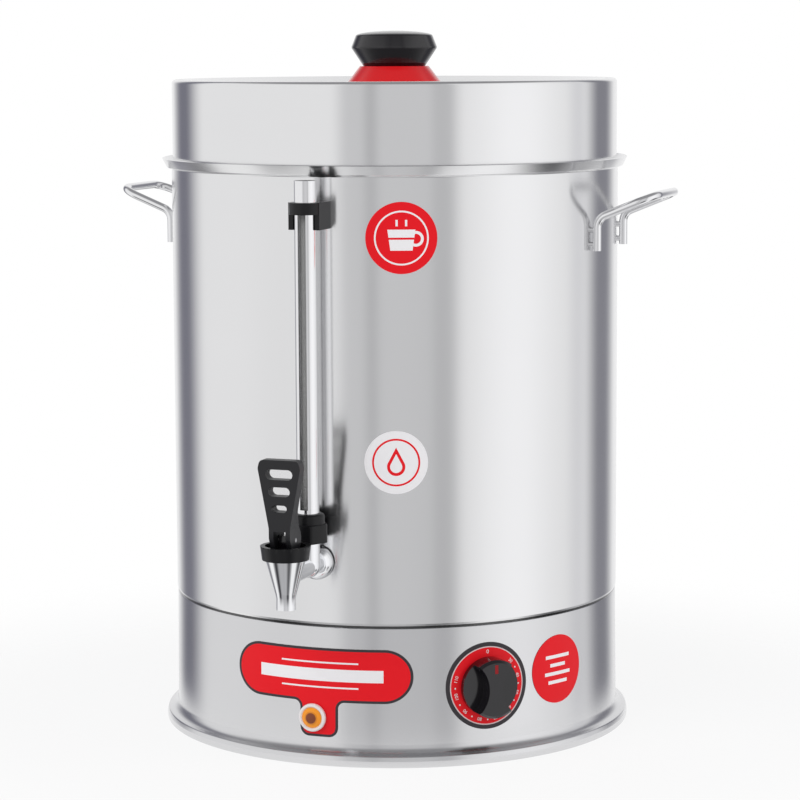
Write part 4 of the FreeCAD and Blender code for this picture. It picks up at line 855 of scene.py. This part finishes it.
@dataclass
class Label(Foil):
    """The front label: a lying round-ended shape with a tab below. Sizes are in millimetres."""

    half: float = 68.6
    rise: float = 20.0
    tab: float = 14.7
    tab_low: float = -46.3
    tab_corner: float = 7.0

    def outline(self) -> Array:
        """The outline's points, anticlockwise from the top."""
        rise, half, tab = self.rise, self.half, self.tab
        corners = [(0, rise), (-half, rise), (-half, -rise), (-tab, -rise), (-tab, self.tab_low),
                   (tab, self.tab_low), (tab, -rise), (half, -rise), (half, rise), (0, rise)]
        radii = [rise - 0.1, rise - 0.1, 4.9, self.tab_corner, self.tab_corner, 4.9, rise - 0.1, rise - 0.1]
        return rounded(corners, radii, 24)

    def sheet(self) -> bpy.types.Object:
        """The label as upright columns of points between its lower and upper outline."""
        outline = self.outline()
        columns = self.half * np.sin(np.linspace(-math.pi / 2, math.pi / 2, 241) * 0.9985)
        columns = np.unique(np.concatenate([columns, [-self.tab + 0.01, self.tab - 0.01, -self.tab - 0.01,
                                                      self.tab + 0.01]]))
        share = np.linspace(0, 1, 25)
        low, high = self._span(outline, columns)
        u = np.repeat(columns, len(share))
        v = (low[:, None] + (high - low)[:, None] * share).ravel()
        run = outline[1:] - outline[:-1]
        length = (run ** 2).sum(1)
        apart = np.stack([u, v], 1)[:, None] - outline[None, :-1]
        along = np.clip((apart * run).sum(2) / np.where(length > 0, length, 1), 0, 1)
        edge = np.sqrt(((apart - along[..., None] * run) ** 2).sum(2)).min(1)
        points = self.wrapped(u, v)
        faces = grid_faces(len(columns), len(share), False, False)[:, ::-1]
        numbers = {"foil_u": u, "foil_v": v, "foil_edge": edge}
        return build_mesh(self.name, points, faces, numbers, 60)

    def _span(self, outline: Array, columns: Array) -> tuple[Array, Array]:
        """The lowest and highest v of the outline at each u."""
        first, last = outline[:-1], outline[1:]
        low_u, high_u = np.minimum(first[:, 0], last[:, 0]), np.maximum(first[:, 0], last[:, 0])
        inside = (columns[:, None] >= low_u) & (columns[:, None] <= high_u) & (high_u - low_u > 1e-9)
        slope = (last[:, 1] - first[:, 1]) / np.where(high_u - low_u > 1e-9, last[:, 0] - first[:, 0], 1)
        v = first[:, 1] + (columns[:, None] - first[:, 0]) * slope
        return np.where(inside, v, 1e9).min(1), np.where(inside, v, -1e9).max(1)


def wrapped_words(name: str, foil: Foil, words: Sequence[tuple[str, float, float, float, float]],
                  lift: float) -> bpy.types.Object:
    """Numbers as flat letters set on a foil.

    Args:
        name: The object's name.
        foil: The foil that carries them.
        words: For each word its text, its centre's u and v, its height and its turn in degrees.
        lift: How far the letters stand from the wall, in millimetres.

    Returns:
        One object with all the words.
    """
    points: list[Array] = []
    faces: list[list[int]] = []
    count = 0
    for text, u, v, size, turn in words:
        curve = bpy.data.curves.new(name, "FONT")
        curve.body, curve.size, curve.align_x, curve.align_y = text, size, "CENTER", "CENTER"
        curve.resolution_u = 3
        written = bpy.data.objects.new(name, curve)
        mesh = bpy.data.meshes.new_from_object(written)
        flat = np.zeros(len(mesh.vertices) * 3)
        mesh.vertices.foreach_get("co", flat)
        flat = flat.reshape(-1, 3)
        angle = math.radians(turn)
        across = u + flat[:, 0] * math.cos(angle) - flat[:, 1] * math.sin(angle)
        up = v + flat[:, 0] * math.sin(angle) + flat[:, 1] * math.cos(angle)
        points.append(foil.wrapped(across, up, lift))
        faces += [[number + count for number in polygon.vertices] for polygon in mesh.polygons]
        count += len(flat)
        bpy.data.objects.remove(written)
        bpy.data.curves.remove(curve)
        bpy.data.meshes.remove(mesh)
    return build_mesh(name, np.vstack(points), faces, None, 60)


@dataclass
class Base:
    """The base: flared shell, control dial, lamp, label and sticker. Sizes are in millimetres."""

    sheet: float = 0.8
    bend: float = 1.4
    foot_radius: float = 181.2
    foot_lip: float = 8.2
    hem: float = 4.0
    flange_top: float = 8.2
    neck: float = 4.5
    dial_azimuth: float = 42.2
    dial_height: float = 56.4
    dial_radius: float = 32.4
    dial_start: float = 48.0
    dial_sweep: float = 236.0
    number_ring: float = 25.2
    lamp_azimuth: float = -1.5
    lamp_height: float = 33.9
    bezel_radius: float = 10.5
    lens_radius: float = 7.6
    wall: Wall = field(default_factory=Wall)

    def shell(self) -> bpy.types.Object:
        """The base's shell: its sheet outline turned about the axis."""
        hem = self.foot_radius - 1.5 - self.hem
        neck = 172.0 - self.sheet - 0.8 - 0.4
        path = [(hem, self.flange_top), (hem, 0), (self.foot_radius, 0),
                (self.foot_radius - 0.1, self.foot_lip * 0.6), (self.foot_radius - 0.9, self.foot_lip),
                (self.wall.radius(self.wall.low), self.wall.low), (self.wall.top_radius, self.wall.high),
                (neck, self.wall.high), (neck, self.wall.high + self.neck)]
        loop = sheet_loop(path, [1.4, 1.4, 1.4, 1.4, 7.0, 1.4, 0.9], self.sheet)
        return build_mesh("base_shell_shown", *spin(loop, Around.TANK.value))

    def bezel(self) -> bpy.types.Object:
        """The lamp's ring, a rounded band that steps down to the lens."""
        back = self.wall.radius(19.7) + 0.45
        corners = [(6.85, back), (self.bezel_radius, back), (self.bezel_radius, back + 3.2), (8.6, back + 3.2),
                   (7.65, back + 2.2), (7.65, back + 0.8), (6.85, back + 0.8)]
        path = rounded(corners, [0.3, 1.5, 0.6, 0.3, 0.1], 6)
        return place(build_mesh("pilot_lamp_bezel_shown", *spin(path, Around.TUBE.value)),
                     spoke_matrix(self.lamp_azimuth, self.lamp_height))

    def lens(self) -> bpy.types.Object:
        """The amber lens, a low dome. It carries each point's distance from the centre."""
        back = self.wall.radius(19.7) + 1.25
        share = np.linspace(0, 1, 24)[::-1]
        dome = np.column_stack([self.lens_radius * share, back + 1.6 + 2.4 * (1 - share ** 2)])
        outline = np.vstack([[(0.0, back), (self.lens_radius, back)], dome])
        points, faces = spin(outline, Around.TUBE.value)
        numbers = {"from_centre": np.hypot(points[:, 0], points[:, 1]) / self.lens_radius}
        return place(build_mesh("pilot_lamp_lens_shown", points, faces, numbers),
                     spoke_matrix(self.lamp_azimuth, self.lamp_height))

    def numbers(self, foil: Foil) -> bpy.types.Object:
        """The dial's numbers and dots, clockwise from the off mark."""
        words = [("0", 0.0, 25.3, 4.2, 0.0)]
        values = range(30, 111, 10)
        step = self.dial_sweep / (len(values) - 1)
        for count, value in enumerate(values):
            turn = self.dial_start + count * step
            marks = [(str(value), turn, 3.6)]
            if count < len(values) - 1:
                marks.append(("•", turn + step / 2, 5.0))
            for text, at, size in marks:
                angle = math.radians(at)
                across, up = self.number_ring * math.sin(angle), self.number_ring * math.cos(angle)
                words.append((text, across, up, size, -turn))
        return wrapped_words("dial_numbers", foil, words, 0.42)

    def build(self, dresser: Dresser) -> None:
        """Builds and dresses the base."""
        dresser.dress(self.shell(), BASE_STEEL, "urn", "steel", "base_shell")
        dial = Foil("dial_plate_shown", self.dial_azimuth, self.dial_height, self.wall.radius)
        dresser.dress(dial.disc(self.dial_radius, 4.5), Print("dial_print", Layer.DIAL), "urn", "dial_black",
                      "dial_plate")
        dresser.dress(self.numbers(dial), WHITE_INK, "urn", "badge_white")
        label = Label("front_label_shown", 0.0, 66.0, self.wall.radius)
        dresser.dress(label.sheet(), Print("label_print", Layer.LABEL), "urn", "label_red", "front_label")
        sticker = Foil("setting_sticker_shown", 63.6, 60.8, self.wall.radius)
        dresser.dress(sticker.disc(25.7), Print("setting_print", Layer.SETTING), "urn", "badge_red",
                      "setting_sticker")
        dresser.dress(self.bezel(), BEZEL_WHITE, "urn", "bright_steel", "pilot_lamp_bezel")
        dresser.dress(self.lens(), AmberLens(), "urn", "amber", "pilot_lamp_lens")


@dataclass
class Badges:
    """The two round badges on the tank. Sizes are in millimetres."""

    tank_radius: float = 172.0

    def build(self, dresser: Dresser) -> None:
        """Builds and dresses the badges."""
        for node, azimuth, height, radius, layer, slot in (
                ("red_badge", 21.0, 386.3, 25.8, Layer.RED_BADGE, "badge_red"),
                ("white_badge", 19.5, 224.2, 23.0, Layer.WHITE_BADGE, "badge_white")):
            foil = Foil(node + "_shown", azimuth, height, lambda up: self.tank_radius + 0 * up)
            dresser.dress(foil.disc(radius), Print(node + "_print", layer), "urn", slot, node)


@dataclass
class Gauge:
    """The sight gauge's slotted guard and clear tube. Sizes are in millimetres."""

    centre: float = -190.8
    radius: float = 8.25
    sheet: float = 0.8
    slot: float = 6.0
    low: float = 184.0
    slot_low: float = 190.0
    slot_high: float = 406.0
    high: float = 428.0
    glass: float = 5.25
    glass_wall: float = 1.1

    def guard(self) -> bpy.types.Object:
        """The guard: a band bent round to a C where the slot is, and a full ring above and below.

        A loop's point at angle t is (radius sin t, -radius cos t), outside first and then back inside.
        """
        points: list[Array] = []
        faces: list[list[int]] = []
        count = 0
        inner = self.radius - self.sheet
        gap = math.asin(self.slot / 2 / self.radius)
        for low, high, start in ((self.low, self.slot_low + 2, 0.0), (self.slot_low + 2, self.slot_high, gap),
                                 (self.slot_high, self.high, 0.0)):
            angle = np.linspace(start, 2 * math.pi - start, 121)
            if start == 0.0:
                angle = angle[:-1]
            out = np.column_stack([self.radius * np.sin(angle), -self.radius * np.cos(angle)])
            back = np.column_stack([inner * np.sin(angle), -inner * np.cos(angle)])
            if start:
                loop = np.vstack([out, back[::-1]])
                size = len(loop)
                rows = np.array([np.column_stack([loop, np.full(size, z)]) for z in (low, high)])
                sides = grid_faces(2, size, False, True).tolist()
                half = len(out)
                for place_number in range(half - 1):
                    other = size - 1 - place_number
                    sides.append([place_number, other, other - 1, place_number + 1])
                    sides.append([size + place_number + 1, size + other - 1, size + other,
                                  size + place_number])
            else:
                size = len(out)
                rows = np.array([np.column_stack([ring, np.full(size, z)])
                                 for ring, z in ((out, low), (out, high), (back, high), (back, low))])
                sides = grid_faces(4, size, True, True).tolist()
            faces += [[number + count for number in face] for face in sides]
            points.append(rows.reshape(-1, 3))
            count += rows.size // 3
        return place(build_mesh("gauge_guard_shown", np.vstack(points), faces, None, 40),
                     Matrix.Translation((0, self.centre * MM, 0)))

    def clear_tube(self) -> bpy.types.Object:
        """The clear tube, a thin wall turned about its own axis."""
        inner = self.glass - self.glass_wall
        outline = np.array([(inner, 162.2), (self.glass, 162.2), (self.glass, 420.8), (inner, 420.8)])
        return place(build_mesh("gauge_glass_shown", *spin(outline, 64)),
                     Matrix.Translation((0, self.centre * MM, 0)))

    def build(self, dresser: Dresser) -> None:
        """Builds and dresses the gauge."""
        dresser.dress(self.guard(), BRIGHT_STEEL, "urn", "bright_steel", "gauge_guard")
        dresser.dress(self.clear_tube(), ClearTube(), "urn", "clear_glass", "gauge_glass")


@dataclass(frozen=True)
class Card:
    """A card in the studio: its turn from the camera's side, half width and soft side in degrees, and tone."""

    turn: float
    half_width: float
    softness: float
    tone: tuple[float, float, float]


CARDS = (
    Card(-139.0, 14.0, 11.0, (0.2, 0.2, 0.24)),
    Card(134.0, 14.0, 10.0, (0.25, 0.25, 0.28)),
    Card(2.0, 30.0, 5.0, (0.66, 0.66, 0.67)),
    Card(-12.0, 3.0, 3.0, (0.52, 0.52, 0.53)),
    Card(24.0, 5.0, 3.0, (0.57, 0.57, 0.58)),
    Card(66.0, 20.0, 18.0, (1.05, 1.05, 1.06)),
    Card(108.0, 6.0, 6.0, (0.76, 0.76, 0.78)),
)


@dataclass
class Studio:
    """Floor, light and camera. Distances are in millimetres, angles in degrees."""

    distance: float = 2151.9
    eye_height: float = 525.5
    side: float = 19.5
    pitch: float = 7.362
    yaw: float = 0.086
    roll: float = -0.26
    lens: float = 124.85
    floor_radius: float = 620.0
    floor_white: float = 0.86
    fade_start: float = 0.28
    mirror_push: float = 0.1
    mirror_pull: float = 0.22
    wall_tone: tuple[float, float, float] = (0.9, 0.9, 0.905)
    overhead: tuple[float, float, float] = (0.3, 0.3, 0.31)
    streak_turn: float = 40.0
    streak_tones: tuple = ((0.38, (0.06, 0.06, 0.065)), (0.5, (0.42, 0.42, 0.43)), (0.62, (0.95, 0.95, 0.95)))

    def camera(self) -> None:
        """The camera: forward, right and up are turned by pitch, yaw and roll, then set round the urn."""
        yaw, pitch, roll, side = (math.radians(each) for each in (self.yaw, self.pitch, self.roll, self.side))
        ahead = Vector((math.sin(yaw) * math.cos(pitch), math.cos(yaw) * math.cos(pitch), -math.sin(pitch)))
        level = Vector((math.cos(yaw), -math.sin(yaw), 0))
        above = level.cross(ahead)
        right = level * math.cos(roll) + above * math.sin(roll)
        up = above * math.cos(roll) - level * math.sin(roll)
        turn = Matrix((right, up, -ahead)).transposed().to_4x4()
        data = bpy.data.cameras.new("view")
        data.sensor_width, data.lens = 36.0, self.lens
        data.clip_start, data.clip_end = 0.05, 50
        made = bpy.data.objects.new("view", data)
        place_matrix = Matrix.Translation((0, -self.distance * MM, self.eye_height * MM))
        made.matrix_world = Matrix.Rotation(side, 4, "Z") @ place_matrix @ turn
        bpy.context.scene.collection.objects.link(made)
        bpy.context.scene.camera = made

    def floor(self) -> None:
        """A plain pale floor that shows near white and keeps a soft shadow."""
        angle = np.arange(96) / 96 * 2 * math.pi
        rings = np.linspace(0, self.floor_radius, 9)[1:]
        points = np.vstack([[(0, 0, -0.2)], np.column_stack([(rings[:, None] * np.cos(angle)).ravel(),
                                                             (rings[:, None] * np.sin(angle)).ravel(),
                                                             np.full(96 * 8, -0.2)])])
        faces = (grid_faces(8, 96, False, True)[:, ::-1] + 1).tolist()
        faces += [[0, 1 + step, 1 + (step + 1) % 96] for step in range(96)]
        made = build_mesh("studio_floor", points, faces)
        shader = Shader("pale_floor")
        plain = shader.node("ShaderNodeBsdfDiffuse", None, {"Color": (0.86, 0.86, 0.87, 1.0)})
        white = shader.node("ShaderNodeEmission", None, {"Color": (1.0, 1.0, 1.0, 1.0), "Strength": 1.0})
        mixed = shader.blend(shader.rays("Camera", "Glossy", "Transmission") * self.floor_white, plain, white)
        x, y, z = shader.place()
        mirrored = shader.rays("Glossy")
        out = (x * x + y * y).power(0.5) + mirrored * self.mirror_push
        far = shader.share(out, self.fade_start, self.floor_radius * MM - mirrored * self.mirror_pull)
        faded = shader.blend(far, mixed, shader.node("ShaderNodeBsdfTransparent"))
        shader.node("ShaderNodeOutputMaterial", None, {"Surface": faded.outputs[0]})
        made.data.materials.append(shader.material)

    def world(self) -> None:
        """A studio round the urn: a pale wall with cards in front of it, which the steel shows as bands.

        A card covers the wall where the direction's turn from the camera's side is within its half width.
        """
        made = bpy.data.worlds.new("studio")
        bpy.context.scene.world = made
        made.use_nodes = True
        shader = Shader("studio", made.node_tree)
        coords = shader.node("ShaderNodeTexCoord")
        turned = shader.node("ShaderNodeVectorRotate", {"rotation_type": "Z_AXIS"},
                             {"Vector": coords.outputs["Generated"], "Angle": -math.radians(self.side)})
        split = shader.node("ShaderNodeSeparateXYZ", None, {0: turned.outputs[0]})
        x, y, z = (Socket(shader, split.outputs[axis]) for axis in range(3))
        turn = shader.maths("ARCTAN2", x, 0 - y) * (180 / math.pi)
        band: Any = self.wall_tone
        for card in CARDS:
            inside = shader.share(abs(turn - card.turn), card.half_width + card.softness,
                                  card.half_width - card.softness)
            band = shader.mixed(inside, band, card.tone)
        above = shader.share(z, 0.5, 0.85)
        below = shader.share(0 - z, 0.25, 0.5) * shader.share(0 - z, 0.62, 0.78, end=0.12, start=1.0)
        streaks = shader.noise(shader.joined(turn / self.streak_turn, 0.0, 0.0), 1.0, 0.0)
        floor_tone = shader.node("ShaderNodeValToRGB", {"stops": self.streak_tones}, {0: streaks})
        reflected = shader.mixed(above, band, self.overhead)
        reflected = shader.mixed(below, reflected, Socket(shader, floor_tone.outputs[0]))
        seen = shader.mixed(shader.rays("Camera", "Transmission"), reflected, (1.0, 1.0, 1.0))
        lit = shader.node("ShaderNodeBackground", None, {"Color": seen, "Strength": 1.0})
        shader.node("ShaderNodeOutputWorld", None, {"Surface": lit.outputs[0]})

    def lamps(self) -> None:
        """Two wide soft lamps, one high at the front left and one at the right."""
        for name, turn, up, far, size, power in (("soft_left", -40.0, 42.0, 2.2, 1.4, 16.0),
                                                 ("soft_right", 75.0, 30.0, 2.2, 1.2, 9.0)):
            data = bpy.data.lights.new(name, "AREA")
            data.shape, data.size, data.energy = "SQUARE", size, power
            made = bpy.data.objects.new(name, data)
            angle, rise = math.radians(self.side + turn), math.radians(up)
            aim = Vector((math.sin(angle) * math.cos(rise), -math.cos(angle) * math.cos(rise), math.sin(rise)))
            made.location = aim * far + Vector((0, 0, 0.25))
            made.rotation_euler = aim.to_track_quat("Z", "Y").to_euler()
            made.visible_glossy = False
            bpy.context.scene.collection.objects.link(made)

    def build(self) -> None:
        """Sets up the studio."""
        scene = bpy.context.scene
        scene.view_settings.view_transform = "Standard"
        self.camera()
        self.floor()
        self.world()
        self.lamps()


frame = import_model()


def main() -> None:
    """Builds the urn's looks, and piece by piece."""
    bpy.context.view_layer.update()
    dresser = Dresser(frame)
    for part in (Tank(), Lid(), Base(), Badges(), Gauge()):
        part.build(dresser)
        LOG.info("built %s", type(part).__name__)
    for kind, nodes in COATED:
        for node in nodes.split():
            dresser.coat(node, kind)
    for node, kind, width, angle in SOFTENED:
        dresser.soften(node, kind, width, angle)
    Studio().build()
    bpy.context.view_layer.update()


if __name__ == "__main__":
    main()
